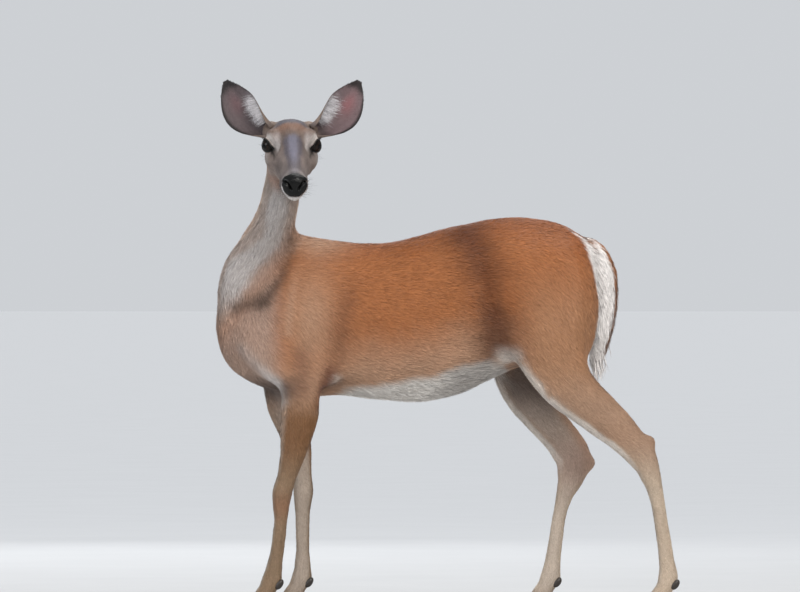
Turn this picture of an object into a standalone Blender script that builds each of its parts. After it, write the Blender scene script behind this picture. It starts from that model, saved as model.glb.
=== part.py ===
"""White-tailed deer doe, life size, standing and looking to her left.

The doe faces -X, her left side is -Y, and Z is up, in metres. Overlapping lofts of trunk, neck, legs and
head are remeshed into one body, whose surface is that of the coat. Thin slabs then part it into named
lengths. Ears, eyes, tail, hooves and dewclaws are pieces of their own, a hair's breadth clear of the body.
"""

import math

import bmesh
import bpy
import numpy as np
from mathutils import Matrix, Vector

# ---------------------------------------------------------------------------------------- driving sizes

GAP = 0.0004  # clearance between one piece and the next
VOXEL = 0.0042  # grain of the remesh that joins the flesh
BODY_TRIANGLES = 4150

FEWEST_CAP_SIDES = 6  # a face with more sides than this is a flat cut
RIM_STEP = 0.095  # shortest edge round a cut, as a share of the cut's size
SHORTEST_RIM_EDGE = 0.003

CORONET_Z = 0.036  # hair ends and horn begins at this height
HOOF_HALF_LENGTH = 0.031
HOOF_HALF_WIDTH = 0.0215  # of the cloven pair
CLEFT = 0.0024
DEWCLAW_Z = 0.072

EYE_RADIUS = 0.0168
EYE_SPREAD = 0.0470  # from the middle of the head to the centre of each eye
EAR_THICKNESS = 0.0050
EAR_FACING = Vector((0.22, -1, -0.10))  # the way the hollow of her left ear looks

# The head's own frame: origin midway between the eyes, u towards the nose, s to her left, w up.
BROW = Vector((-0.3245, -0.185, 1.021))
HEAD_YAW = math.radians(3.4)
HEAD_PITCH = math.radians(25.0)

COLOURS = {
    "coat": (0.36, 0.15, 0.055),
    "neck_coat": (0.30, 0.21, 0.14),
    "face_coat": (0.22, 0.14, 0.095),
    "ear_coat": (0.20, 0.14, 0.12),
    "leg_coat": (0.34, 0.19, 0.095),
    "tail_coat": (0.55, 0.42, 0.34),
    "nose": (0.012, 0.011, 0.012),
    "eye": (0.010, 0.006, 0.004),
    "horn": (0.020, 0.017, 0.015),
}
ROUGHNESS = {"nose": 0.30, "eye": 0.06, "horn": 0.40}
COAT_ROUGHNESS = 0.75

# -------------------------------------------------------------------------------------------- utilities


def clear_scene():
    for old in list(bpy.data.objects):
        bpy.data.objects.remove(old, do_unlink=True)


def make_collection(name, helper=False):
    made = bpy.data.collections.new(name)
    bpy.context.scene.collection.children.link(made)
    made.hide_render = helper
    return made


def material(slot):
    if slot in bpy.data.materials:
        return bpy.data.materials[slot]
    made = bpy.data.materials.new(slot)
    made.use_nodes = True
    shader = made.node_tree.nodes["Principled BSDF"]
    shader.inputs["Base Color"].default_value = (*COLOURS[slot], 1.0)
    shader.inputs["Roughness"].default_value = ROUGHNESS.get(slot, COAT_ROUGHNESS)
    return made


def add_object(name, mesh, collection, slot=None):
    """Puts a bmesh into the collection as an object, smooth shaded where a slot names its finish."""
    data = bpy.data.meshes.new(name)
    mesh.to_mesh(data)
    mesh.free()
    made = bpy.data.objects.new(name, data)
    collection.objects.link(made)
    if slot:
        data.materials.append(material(slot))
        data.shade_smooth()
        data.set_sharp_from_angle(angle=math.radians(50))
    return made


def bake(target):
    """The object's evaluated mesh becomes its own, with no modifiers left."""
    graph = bpy.context.evaluated_depsgraph_get()
    graph.update()
    made = bpy.data.meshes.new_from_object(target.evaluated_get(graph))
    target.modifiers.clear()
    target.vertex_groups.clear()
    target.data = made


def mesh_of(target):
    mesh = bmesh.new()
    mesh.from_mesh(target.data)
    return mesh


def subtract(target, cutter):
    cut = target.modifiers.new("cut", "BOOLEAN")
    cut.operation = "DIFFERENCE"
    cut.solver = "EXACT"
    cut.object = cutter
    bake(target)


def make_helper(target):
    target.hide_render = True
    target.display_type = "WIRE"
    return target


def along(stations, count):
    """count rows read from a smooth curve through the stations, each a row of numbers."""
    rows = np.array(stations, float)
    ends = np.vstack([2 * rows[0] - rows[1], rows, 2 * rows[-1] - rows[-2]])
    at = np.linspace(0, len(rows) - 1, count)
    i = np.minimum(at.astype(int), len(rows) - 2)
    t = (at - i)[:, None]
    a, b, c, d = ends[i], ends[i + 1], ends[i + 2], ends[i + 3]
    bend, twist = 2 * a - 5 * b + 4 * c - d, 3 * b - a - 3 * c + d
    return 0.5 * (2 * b + (c - a) * t + bend * t**2 + twist * t**3)


def loft(name, rings, collection, slot=None):
    """A closed mesh through rings of points, with a fan over each end."""
    mesh = bmesh.new()
    rows = [[mesh.verts.new(p) for p in ring] for ring in rings]
    sides = len(rows[0])
    for lower, upper in zip(rows, rows[1:]):
        for k in range(sides):
            mesh.faces.new((lower[k], lower[(k + 1) % sides], upper[(k + 1) % sides], upper[k]))
    for row in (rows[0], rows[-1]):
        middle = mesh.verts.new(sum((v.co for v in row), Vector()) / sides)
        for k in range(sides):
            mesh.faces.new((middle, row[k], row[(k + 1) % sides]))
    bmesh.ops.recalc_face_normals(mesh, faces=mesh.faces[:])
    return add_object(name, mesh, collection, slot)


def angles(count):
    return np.linspace(0, 2 * math.pi, count, endpoint=False)


def limb(name, stations, collection, count=48, sides=20):
    """A tube. Each station: x, y, z, half-width across the body, half-depth fore and aft, twist (degrees)."""
    rows = along(stations, count)
    tangents = np.gradient(rows[:, :3], axis=0)
    rings = []
    for row, tangent in zip(rows, tangents):
        centre, tangent = Vector(row[:3]), Vector(tangent).normalized()
        twist = math.radians(row[5]) if len(row) > 5 else 0.0
        side = Vector((math.sin(twist), math.cos(twist), 0))
        side = (side - side.dot(tangent) * tangent).normalized()
        fore = tangent.cross(side)
        rings.append([
            centre + side * row[3] * math.cos(a) + fore * row[4] * math.sin(a) for a in angles(sides)
        ])
    return loft(name, rings, collection)


def muscle(name, start, end, breadth, thickness, collection):
    """A lens of flesh from start to end, broad in the side view and thin across the body."""
    share = np.linspace(0, 1, 14)
    bulge = np.sqrt(np.clip(1 - (2 * share - 1) ** 2, 0.02, 1))
    path = np.linspace(start, end, len(share))
    return limb(name, [(*p, thickness * b, breadth * b) for p, b in zip(path, bulge)], collection, count=24)


def ellipsoid(name, matrix, radii, collection, segments=20, slot=None):
    mesh = bmesh.new()
    shape = matrix @ Matrix.Diagonal((*radii, 1))
    bmesh.ops.create_uvsphere(
        mesh, u_segments=segments, v_segments=segments // 2, radius=1.0, matrix=shape
    )
    return add_object(name, mesh, collection, slot)


# ------------------------------------------------------------------------------------- trunk and neck


def make_trunk(flesh):
    """Upright sections from breast to buttocks: x, back, belly, half-width, and how far the back narrows."""
    stations = [
        (-0.494, 0.650, 0.602, 0.014, 0.0),
        (-0.480, 0.705, 0.558, 0.046, 0.0),
        (-0.442, 0.755, 0.518, 0.076, 0.1),
        (-0.390, 0.795, 0.492, 0.096, 0.3),
        (-0.320, 0.834, 0.478, 0.110, 0.5),
        (-0.235, 0.824, 0.474, 0.120, 0.5),
        (-0.130, 0.817, 0.468, 0.134, 0.36),
        (-0.030, 0.838, 0.465, 0.143, 0.22),
        (0.050, 0.859, 0.484, 0.142, 0.14),
        (0.120, 0.871, 0.520, 0.132, 0.14),
        (0.190, 0.872, 0.542, 0.126, 0.20),
        (0.260, 0.860, 0.560, 0.114, 0.25),
        (0.315, 0.828, 0.590, 0.086, 0.2),
        (0.342, 0.785, 0.650, 0.046, 0.0),
    ]
    rings = []
    for x, top, bottom, half, pinch in along(stations, 60):
        middle, rise = (top + bottom) / 2, (top - bottom) / 2
        rings.append([
            Vector((
                x,
                half * math.cos(a) * (1 - pinch * max(math.sin(a), 0) ** 1.5),
                middle + rise * math.sin(a),
            ))
            for a in angles(40)
        ])
    loft("trunk_loft", rings, flesh)
    for s in (-1, 1):
        muscle("shoulder_blade", (-0.240, 0.032 * s, 0.785), (-0.428, 0.074 * s, 0.580), 0.080, 0.040, flesh)
        muscle("triceps", (-0.215, 0.074 * s, 0.710), (-0.275, 0.086 * s, 0.490), 0.068, 0.038, flesh)
        muscle("upper_arm", (-0.440, 0.072 * s, 0.625), (-0.290, 0.086 * s, 0.495), 0.052, 0.038, flesh)
        muscle("buttock", (0.285, 0.046 * s, 0.810), (0.302, 0.074 * s, 0.545), 0.056, 0.044, flesh)


def make_neck(flesh):
    """The neck rises from the breast, bends to her left and turns until the throat faces that way."""
    limb("neck_loft", [
        (-0.380, 0.000, 0.610, 0.076, 0.100, 0),
        (-0.402, 0.000, 0.670, 0.074, 0.092, -6),
        (-0.408, -0.004, 0.735, 0.064, 0.080, -20),
        (-0.384, -0.020, 0.805, 0.056, 0.070, -45),
        (-0.360, -0.046, 0.870, 0.049, 0.060, -70),
        (-0.347, -0.074, 0.930, 0.046, 0.058, -85),
        (-0.336, -0.094, 0.985, 0.046, 0.057, -90),
        (-0.327, -0.110, 1.020, 0.042, 0.044, -90),
    ], flesh)


# ------------------------------------------------------------------------------------------------- legs

# Each leg runs down its length: x, distance from the middle, z, half-width across, half-depth fore and aft.
FORE_LEFT = [
    (-0.300, 0.086, 0.560, 0.034, 0.055),
    (-0.303, 0.088, 0.520, 0.036, 0.053),
    (-0.307, 0.087, 0.470, 0.034, 0.046),
    (-0.312, 0.085, 0.415, 0.029, 0.039),
    (-0.324, 0.082, 0.350, 0.0235, 0.028),
    (-0.338, 0.079, 0.300, 0.0210, 0.0215),
    (-0.346, 0.077, 0.270, 0.0225, 0.0230),
    (-0.349, 0.076, 0.244, 0.0190, 0.0195),
    (-0.350, 0.075, 0.205, 0.0145, 0.0162),
    (-0.358, 0.074, 0.140, 0.0140, 0.0155),
    (-0.364, 0.074, 0.103, 0.0165, 0.0185),
    (-0.369, 0.074, 0.082, 0.0185, 0.0215),
    (-0.379, 0.074, 0.060, 0.0175, 0.0190),
    (-0.388, 0.074, 0.042, 0.0205, 0.0225),
    (-0.401, 0.074, 0.012, 0.0215, 0.0250),
]
FORE_RIGHT = [
    (-0.352, 0.086, 0.560, 0.034, 0.055),
    (-0.348, 0.088, 0.520, 0.036, 0.053),
    (-0.342, 0.087, 0.470, 0.034, 0.046),
    (-0.326, 0.085, 0.415, 0.029, 0.037),
    (-0.311, 0.082, 0.350, 0.0235, 0.028),
    (-0.304, 0.079, 0.300, 0.0210, 0.0215),
    (-0.302, 0.077, 0.270, 0.0225, 0.0230),
    (-0.303, 0.076, 0.244, 0.0190, 0.0195),
    (-0.304, 0.075, 0.205, 0.0145, 0.0162),
    (-0.304, 0.074, 0.140, 0.0140, 0.0155),
    (-0.304, 0.074, 0.103, 0.0165, 0.0185),
    (-0.306, 0.074, 0.082, 0.0185, 0.0215),
    (-0.316, 0.074, 0.060, 0.0175, 0.0190),
    (-0.325, 0.074, 0.042, 0.0205, 0.0225),
    (-0.338, 0.074, 0.012, 0.0215, 0.0250),
]
HIND_LEFT = [
    (0.205, 0.055, 0.790, 0.045, 0.090),
    (0.222, 0.075, 0.725, 0.052, 0.112),
    (0.228, 0.088, 0.655, 0.056, 0.110),
    (0.236, 0.094, 0.585, 0.051, 0.090),
    (0.268, 0.094, 0.517, 0.043, 0.068),
    (0.316, 0.091, 0.464, 0.035, 0.053),
    (0.365, 0.088, 0.420, 0.028, 0.044),
    (0.402, 0.085, 0.384, 0.0225, 0.037),
    (0.432, 0.083, 0.350, 0.0220, 0.034),
    (0.450, 0.082, 0.312, 0.0200, 0.024),
    (0.463, 0.081, 0.265, 0.0150, 0.0175),
    (0.474, 0.080, 0.205, 0.0140, 0.0158),
    (0.486, 0.080, 0.125, 0.0155, 0.0175),
    (0.489, 0.080, 0.088, 0.0185, 0.0215),
    (0.480, 0.080, 0.062, 0.0175, 0.0190),
    (0.470, 0.080, 0.042, 0.0205, 0.0225),
    (0.457, 0.080, 0.012, 0.0215, 0.0250),
]
HIND_RIGHT = [
    (0.205, 0.055, 0.790, 0.045, 0.090),
    (0.212, 0.075, 0.725, 0.052, 0.108),
    (0.200, 0.088, 0.655, 0.056, 0.102),
    (0.178, 0.094, 0.590, 0.051, 0.084),
    (0.172, 0.094, 0.525, 0.043, 0.062),
    (0.193, 0.091, 0.472, 0.035, 0.050),
    (0.226, 0.088, 0.426, 0.028, 0.043),
    (0.260, 0.085, 0.386, 0.0230, 0.040),
    (0.286, 0.083, 0.345, 0.0220, 0.042),
    (0.283, 0.082, 0.302, 0.0200, 0.032),
    (0.268, 0.081, 0.262, 0.0155, 0.0200),
    (0.256, 0.080, 0.215, 0.0140, 0.0160),
    (0.243, 0.080, 0.125, 0.0155, 0.0175),
    (0.238, 0.080, 0.088, 0.0185, 0.0215),
    (0.227, 0.080, 0.062, 0.0175, 0.0190),
    (0.217, 0.080, 0.042, 0.0205, 0.0225),
    (0.204, 0.080, 0.012, 0.0215, 0.0250),
]
LEGS = {"fore_left": FORE_LEFT, "fore_right": FORE_RIGHT, "hind_left": HIND_LEFT, "hind_right": HIND_RIGHT}
HEELS = {"hind_left": ((0.405, 0.345), (0.464, 0.392)), "hind_right": ((0.278, 0.318), (0.340, 0.338))}


def side_of(leg):
    return -1 if leg.endswith("left") else 1


def make_legs(flesh):
    for leg, stations in LEGS.items():
        rows = [(x, y * side_of(leg), *sizes) for x, y, *sizes in stations]
        limb(f"{leg}_loft", rows, flesh, count=80, sides=18)
    for leg, (low, high) in HEELS.items():
        y = 0.083 * side_of(leg)
        muscle("heel", (low[0], y, low[1]), (high[0], y, high[1]), 0.022, 0.016, flesh)


# ------------------------------------------------------------------------------------------------- head


def head_frame():
    forward = Vector((
        math.sin(HEAD_YAW) * math.cos(HEAD_PITCH),
        -math.cos(HEAD_YAW) * math.cos(HEAD_PITCH),
        -math.sin(HEAD_PITCH),
    ))
    side = Vector((0, 0, 1)).cross(forward).normalized()
    turn = Matrix((forward, side, forward.cross(side))).transposed()
    return Matrix.Translation(BROW) @ turn.to_4x4()


HEAD = head_frame()


def in_head(u, s, w):
    return HEAD @ Matrix.Translation((u, s, w))


def make_head(flesh):
    """Sections across the head: u, top, bottom, half-width, and its share left near the top and the jaw."""
    stations = [
        (0.171, -0.013, -0.038, 0.0160, 0.95, 0.95),
        (0.165, -0.004, -0.050, 0.0245, 0.90, 0.90),
        (0.150, 0.003, -0.060, 0.0285, 0.85, 0.80),
        (0.125, 0.009, -0.064, 0.0290, 0.75, 0.85),
        (0.095, 0.016, -0.067, 0.0315, 0.70, 0.85),
        (0.065, 0.024, -0.072, 0.0385, 0.65, 0.85),
        (0.040, 0.031, -0.078, 0.0440, 0.62, 0.88),
        (0.015, 0.037, -0.084, 0.0500, 0.66, 0.84),
        (-0.010, 0.041, -0.088, 0.0545, 0.78, 0.78),
        (-0.035, 0.042, -0.088, 0.0570, 0.85, 0.75),
        (-0.060, 0.036, -0.080, 0.0555, 0.85, 0.75),
        (-0.085, 0.023, -0.062, 0.0485, 0.85, 0.80),
        (-0.104, 0.004, -0.034, 0.0280, 0.90, 0.90),
    ]
    rings = []
    for u, top, bottom, half, upper, lower in along(stations, 60):
        middle, rise = (top + bottom) / 2, (top - bottom) / 2
        ring = []
        for a in angles(40):
            height = math.sin(a)
            narrow = 1 + (upper - 1) * max(height, 0) + (lower - 1) * max(-height, 0)
            width = half * math.copysign(abs(math.cos(a)) ** 0.8, math.cos(a)) * narrow
            ring.append(in_head(u, width, middle + rise * height).translation)
        rings.append(ring)
    loft("head_loft", rings, flesh)
    for s in (-1, 1):
        ellipsoid("brow", in_head(-0.012, 0.0390 * s, 0.016), (0.032, 0.0185, 0.015), flesh)
        ellipsoid("cheekbone", in_head(-0.002, 0.0370 * s, -0.032), (0.046, 0.0215, 0.026), flesh)
        ellipsoid("jowl", in_head(-0.034, 0.0340 * s, -0.054), (0.034, 0.0190, 0.032), flesh)
        ellipsoid("ear_root", in_head(-0.066, 0.0410 * s, 0.001), (0.030, 0.0215, 0.025), flesh)
        ellipsoid("nostril_wing", in_head(0.152, 0.0175 * s, -0.020), (0.014, 0.0125, 0.017), flesh)
        ellipsoid("lip", in_head(0.118, 0.0180 * s, -0.038), (0.042, 0.0130, 0.015), flesh)
    ellipsoid("chin", in_head(0.134, 0.0, -0.057), (0.022, 0.0175, 0.012), flesh)


def make_eye(name, side, deer, cutters):
    """The eyeball, and the socket that is to be cut for it."""
    place = in_head(0.0, EYE_SPREAD * side, 0.0)
    ellipsoid(name, place, (EYE_RADIUS,) * 3, deer, 16, "eye")
    return make_helper(ellipsoid(f"{name}_socket", place, (EYE_RADIUS + GAP,) * 3, cutters, 16))


def make_ear(name, side, deer):
    """A cupped leaf on a bent midrib, a tube at its root. The right ear mirrors the left one."""
    rib = [Vector(p) for p in ((0.040, 0.058, 0.029), (0.107, 0.078, 0.060), (0.1440, 0.098, 0.1385))]
    # From root to tip: the radius of the section's arc, and how far it curls to each side in degrees.
    sections = [
        (0.0150, 150),
        (0.0190, 125),
        (0.0265, 100),
        (0.0350, 84),
        (0.0420, 73),
        (0.0470, 62),
        (0.0500, 50),
        (0.0520, 37),
        (0.0530, 23),
        (0.0530, 7),
    ]
    rows, columns = 10, 8
    mesh = bmesh.new()
    grid = []
    for t, (radius, curl) in zip(np.linspace(0, 1, rows).tolist(), along(sections, rows).tolist()):
        middle = (1 - t) ** 2 * rib[0] + 2 * t * (1 - t) * rib[1] + t**2 * rib[2]
        tangent = (2 * (1 - t) * (rib[1] - rib[0]) + 2 * t * (rib[2] - rib[1])).normalized()
        facing = (EAR_FACING - EAR_FACING.dot(tangent) * tangent).normalized()
        across = tangent.cross(facing)
        row = []
        for bend in np.radians(np.linspace(-curl, curl, columns)).tolist():
            point = middle + across * radius * math.sin(bend) + facing * radius * (1 - math.cos(bend))
            row.append(mesh.verts.new(BROW + Vector((point.x * side, point.y, point.z))))
        grid.append(row)
    for lower, upper in zip(grid, grid[1:]):
        for k in range(columns - 1):
            corners = (lower[k], lower[k + 1], upper[k + 1], upper[k])
            mesh.faces.new(corners if side > 0 else corners[::-1])
    ear = add_object(name, mesh, deer, "ear_coat")
    thick = ear.modifiers.new("thickness", "SOLIDIFY")
    thick.thickness = EAR_THICKNESS
    thick.offset = 0.0
    bake(ear)
    return ear


# ------------------------------------------------------------------------------------- tail and feet


def make_tail(deer):
    """It hangs against the buttocks, broadest at mid-length where the long fringe stands out."""
    tail = limb("tail", [
        (0.310, 0.0, 0.820, 0.020, 0.018),
        (0.334, 0.0, 0.800, 0.026, 0.024),
        (0.350, 0.0, 0.765, 0.034, 0.030),
        (0.356, 0.0, 0.720, 0.042, 0.034),
        (0.354, 0.0, 0.665, 0.045, 0.035),
        (0.346, 0.0, 0.610, 0.039, 0.032),
        (0.336, 0.0, 0.565, 0.026, 0.024),
        (0.330, 0.0, 0.532, 0.010, 0.010),
    ], deer, count=13, sides=10)
    tail.data.materials.append(material("tail_coat"))
    return tail


def make_claw(name, centre, side, deer):
    """One half of a cloven hoof: sections from the flat sole to the coronet, flat towards the cleft."""
    stations = [
        (0.0, -0.0035, 1.00, 0.96),
        (0.014, -0.0015, 0.96, 1.00),
        (CORONET_Z - GAP, 0.0065, 0.74, 0.94),
    ]
    rings = []
    for z, shift, long, wide in stations:
        ring = []
        for a in angles(12).tolist():
            toe = max(math.cos(a), 0)
            outward = math.sin(a) * (HOOF_HALF_WIDTH - CLEFT / 2) * wide * (1 - 0.3 * toe**2)
            inward = -0.0006 if math.sin(a) < -0.01 else 0.0
            y = CLEFT / 2 + 0.0020 * toe**2 + max(outward, 0) + inward
            x = shift - HOOF_HALF_LENGTH * long * math.cos(a)
            ring.append(Vector((centre[0] + x, centre[1] + side * y, z)))
        rings.append(ring)
    return loft(name, rings, deer, "horn")


def make_dewclaw(name, centre, side, deer):
    turn = Matrix.Rotation(math.radians(35), 4, "Y")
    place = Matrix.Translation((centre[0], centre[1] + 0.0110 * side, DEWCLAW_Z)) @ turn
    return ellipsoid(name, place, (0.0078, 0.0062, 0.0125), deer, 6, "horn")


# --------------------------------------------------------------------------------- joining and parting


def join_flesh(flesh, deer):
    """All the lofts as one closed body: joined, remeshed, smoothed and thinned to the triangle budget."""
    joined = bmesh.new()
    for piece in list(flesh.objects):
        joined.from_mesh(piece.data)
        bpy.data.objects.remove(piece, do_unlink=True)
    body = add_object("body", joined, deer)
    remesh = body.modifiers.new("join", "REMESH")
    remesh.mode = "VOXEL"
    remesh.voxel_size = VOXEL
    bake(body)
    fine = body.vertex_groups.new(name="fine")
    coarse = body.vertex_groups.new(name="coarse")
    for vertex in body.data.vertices:
        is_fine = is_face(vertex.co) or vertex.co.z < 0.45
        fine.add([vertex.index], 1.0, "REPLACE")
        coarse.add([vertex.index], 0.0 if is_fine else 1.0, "REPLACE")
    for group, passes in ((fine, 4), (coarse, 12)):
        soften = body.modifiers.new("soften", "SMOOTH")
        soften.factor = 0.5
        soften.iterations = passes
        soften.vertex_group = group.name
    bake(body)
    detail = body.vertex_groups.new(name="detail")
    for vertex in body.data.vertices:
        detail.add([vertex.index], 0.62 if is_face(vertex.co) else 1.0, "REPLACE")
    thin = body.modifiers.new("thin", "DECIMATE")
    thin.ratio = BODY_TRIANGLES / (2 * len(body.data.polygons))
    thin.vertex_group = detail.name
    thin.vertex_group_factor = 0.01
    thin.use_collapse_triangulate = True
    bake(body)
    return body


def is_face(point):
    local = HEAD.inverted() @ point
    return local.length < 0.19 and local.x > -0.11


def part_off(seed, tangent, half_u, half_v, cutters, up=Vector((0, 0, 1))):
    """A sheet GAP thick through the point seed and square to tangent, as a cutter."""
    normal = Vector(tangent).normalized()
    across = Vector(up).cross(normal).normalized()
    turn = Matrix((across, normal.cross(across), normal)).transposed().to_4x4()
    mesh = bmesh.new()
    size = Matrix.Diagonal((2 * half_u, 2 * half_v, GAP, 1))
    bmesh.ops.create_cube(mesh, size=1.0, matrix=Matrix.Translation(seed) @ turn @ size)
    return make_helper(add_object("sheet", mesh, cutters))


def leg_at(leg, z):
    """A point on the leg's own middle line at this height, and the way the leg runs there."""
    rows = along(LEGS[leg], 400)[:, :3]
    k = int(np.argmin(np.abs(rows[:, 2] - z)))
    point, ahead = Vector(rows[k]), Vector(rows[min(k + 4, 399)]) - Vector(rows[max(k - 4, 0)])
    return Vector((point.x, point.y * side_of(leg), point.z)), Vector((ahead.x, 0, ahead.z))


# Where each leg is parted, from its upper end down. None cuts level instead of square to the leg.
LEG_CUTS = {
    "fore_left": ((0.462, None), (0.318, 0.06), (0.226, 0.05), (0.102, 0.05)),
    "fore_right": ((0.462, None), (0.318, 0.06), (0.226, 0.05), (0.102, 0.05)),
    "hind_left": ((0.487, 0.085), (0.398, 0.075), (0.285, 0.05), (0.104, 0.05)),
    "hind_right": ((0.480, 0.075), (0.396, 0.070), (0.268, 0.05), (0.104, 0.05)),
}
LEG_LENGTHS = {
    "fore": ("forearm", "knee", "fore_cannon", "fore_pastern"),
    "hind": ("gaskin", "hock", "hind_cannon", "hind_pastern"),
}
CHEST_END = -0.185
RUMP_START = 0.075
THIGH_APEX = Vector((0.0, 0.470))  # y and z where the two thigh cuts meet, between the legs
THIGH_RISE = Vector((0.130, 0.210))
MOUTH_FRONT = (0.165, -0.0470)  # u and w of the closed mouth, at the lips and at the cheek
MOUTH_BACK = (0.062, -0.0400)
NOSE_TOP = (0.1490, 0.0080)


def part_trunk(cutters):
    for x in (CHEST_END, RUMP_START):
        part_off((x, 0, 0.68), (1, 0, 0), 0.20, 0.24, cutters)
    part_off((-0.405, 0, 0.722), (-0.80, 0, 0.60), 0.16, 0.165, cutters)
    part_off((-0.368, -0.040, 0.858), (0.22, -0.38, 0.90), 0.10, 0.10, cutters, Vector((0, 1, 0)))
    back = 0.46
    for side in (-1, 1):
        reach = THIGH_RISE * 1.5
        middle = THIGH_APEX + Vector((0.0004, 0)) + reach / 2
        normal = (0, -side * THIGH_RISE.y, THIGH_RISE.x)
        seed = ((RUMP_START + back) / 2, side * middle.x, middle.y)
        part_off(seed, normal, (back - RUMP_START) / 2, reach.length / 2, cutters, Vector((0, side, 0)))


def part_head(cutters):
    turn = HEAD.to_3x3()
    side_axis = turn @ Vector((0, 1, 0))
    # Square to the neck, from behind the jaw to behind the ears.
    part_off(in_head(-0.066, 0, -0.072).translation, turn @ Vector((0.493, 0, 0.870)), 0.10, 0.11, cutters)
    part_off(in_head(MOUTH_BACK[0], 0, -0.020).translation, turn @ Vector((1, 0, 0)), 0.07, 0.08, cutters)
    front, back = Vector(MOUTH_FRONT), Vector(MOUTH_BACK)
    run = front - back
    tip = front + run * 0.25
    middle = (tip + back) / 2
    part_off(
        in_head(middle.x, 0, middle.y).translation,
        turn @ Vector((-run.y, 0, run.x)),
        (tip - back).length / 2,
        0.06,
        cutters,
        side_axis,
    )
    top = Vector(NOSE_TOP)
    down = front - top
    start = top - down * 0.25
    middle = (start + front) / 2
    part_off(
        in_head(middle.x, 0, middle.y).translation,
        turn @ Vector((-down.y, 0, down.x)),
        0.05,
        (front - start).length / 2,
        cutters,
    )


def part_legs(cutters):
    for leg, cuts in LEG_CUTS.items():
        for z, reach in cuts:
            point, run = leg_at(leg, z)
            if reach is None:
                part_off(point, (0, 0, 1), 0.085, 0.070, cutters, Vector((0, 1, 0)))
            else:
                part_off(point, run, reach * 0.8, reach, cutters)
        point, _ = leg_at(leg, CORONET_Z)
        mesh = bmesh.new()
        size = Matrix.Diagonal((0.12, 0.08, CORONET_Z, 1))
        at = Matrix.Translation((point.x, point.y, CORONET_Z / 2))
        bmesh.ops.create_cube(mesh, size=1.0, matrix=at @ size)
        make_helper(add_object("below_coronet", mesh, cutters))


def part_seeds():
    """Each length of flesh with a point at its middle and the finish that it wears."""
    seeds = {
        "head": (in_head(-0.015, 0, -0.022).translation, "face_coat"),
        "muzzle": (in_head(0.110, 0, -0.012).translation, "face_coat"),
        "lower_jaw": (in_head(0.105, 0, -0.056).translation, "face_coat"),
        "nose": (in_head(0.165, 0, -0.020).translation, "nose"),
        "neck_upper": (Vector((-0.345, -0.085, 0.935)), "neck_coat"),
        "neck_lower": (Vector((-0.405, -0.010, 0.780)), "neck_coat"),
        "chest": (Vector((-0.335, 0, 0.650)), "coat"),
        "trunk": (Vector((-0.055, 0, 0.665)), "coat"),
        "rump": (Vector((0.205, 0, 0.730)), "coat"),
        "thigh_left": (Vector((0.225, -0.10, 0.570)), "coat"),
        "thigh_right": (Vector((0.200, 0.10, 0.570)), "coat"),
    }
    for leg, cuts in LEG_CUTS.items():
        heights = [z for z, _ in cuts] + [CORONET_Z]
        kind, word = leg.split("_")
        for name, above, below in zip(LEG_LENGTHS[kind], heights, heights[1:]):
            seeds[f"{name}_{word}"] = (leg_at(leg, (above + below) / 2)[0], "leg_coat")
    return seeds


def islands(mesh):
    """The sets of vertices that hang together."""
    left = set(mesh.verts)
    while left:
        found = {left.pop()}
        rim = list(found)
        while rim:
            grown = set().union(*map(neighbours, rim)) - found
            found |= grown
            rim = list(grown)
        left -= found
        yield found


def neighbours(vertex):
    return {v for link in vertex.link_edges for v in link.verts}


def is_cap(face):
    return len(face.verts) > FEWEST_CAP_SIDES


def ease_rims(mesh):
    """Joins the many close points round each flat cut, two by two, where that keeps the surface sound."""

    def may_join(edge):
        sides = edge.link_faces
        if len(sides) != 2 or is_cap(sides[0]) == is_cap(sides[1]):
            return False
        cap = max(sides, key=lambda face: len(face.verts))
        if edge.calc_length() > max(math.sqrt(cap.calc_area()) * RIM_STEP, SHORTEST_RIM_EDGE):
            return False
        if any(sum(map(is_cap, end.link_faces)) > 1 for end in edge.verts):
            return False
        near = [neighbours(end) - set(edge.verts) for end in edge.verts]
        return len(near[0] & near[1]) == 1

    while True:
        taken, chosen = set(), []
        for edge in sorted(filter(may_join, mesh.edges), key=lambda e: e.calc_length()):
            around = neighbours(edge.verts[0]) | neighbours(edge.verts[1])
            if not around & taken:
                taken |= around
                chosen.append(edge)
        if not chosen:
            return
        bmesh.ops.collapse(mesh, edges=chosen)


def split_body(body, deer):
    """Each loose length of the parted body becomes an object, named for the seed nearest its middle."""
    whole = mesh_of(body)
    bpy.data.objects.remove(body, do_unlink=True)
    seeds = part_seeds()
    for found in sorted(islands(whole), key=len, reverse=True):
        low = Vector(map(min, zip(*(v.co for v in found))))
        high = Vector(map(max, zip(*(v.co for v in found))))
        name = min(seeds, key=lambda key: (seeds[key][0] - (low + high) / 2).length)
        _, slot = seeds.pop(name)
        piece = bmesh.new()
        copies = {v: piece.verts.new(v.co) for v in sorted(found, key=lambda v: v.index)}
        faces = {face for v in found for face in v.link_faces}
        for face in sorted(faces, key=lambda f: f.index):
            piece.faces.new([copies[v] for v in face.verts])
        ease_rims(piece)
        add_object(name, piece, deer, slot)
    whole.free()
    if seeds:
        raise ValueError(f"no flesh was found for {sorted(seeds)}")


def fattened(body, cutters):
    """The whole body grown by GAP, which clears whatever is set into it."""
    mesh = mesh_of(body)
    mesh.normal_update()
    for vertex, out in [(v, v.normal.copy()) for v in mesh.verts]:
        vertex.co += out * GAP
    return make_helper(add_object("fattened_body", mesh, cutters))


def keep_largest(target):
    """Drops the scraps that a cut leaves beside the main piece."""
    mesh = mesh_of(target)
    largest = max(islands(mesh), key=len)
    bmesh.ops.delete(mesh, geom=[v for v in mesh.verts if v not in largest], context="VERTS")
    mesh.to_mesh(target.data)
    mesh.free()


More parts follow.
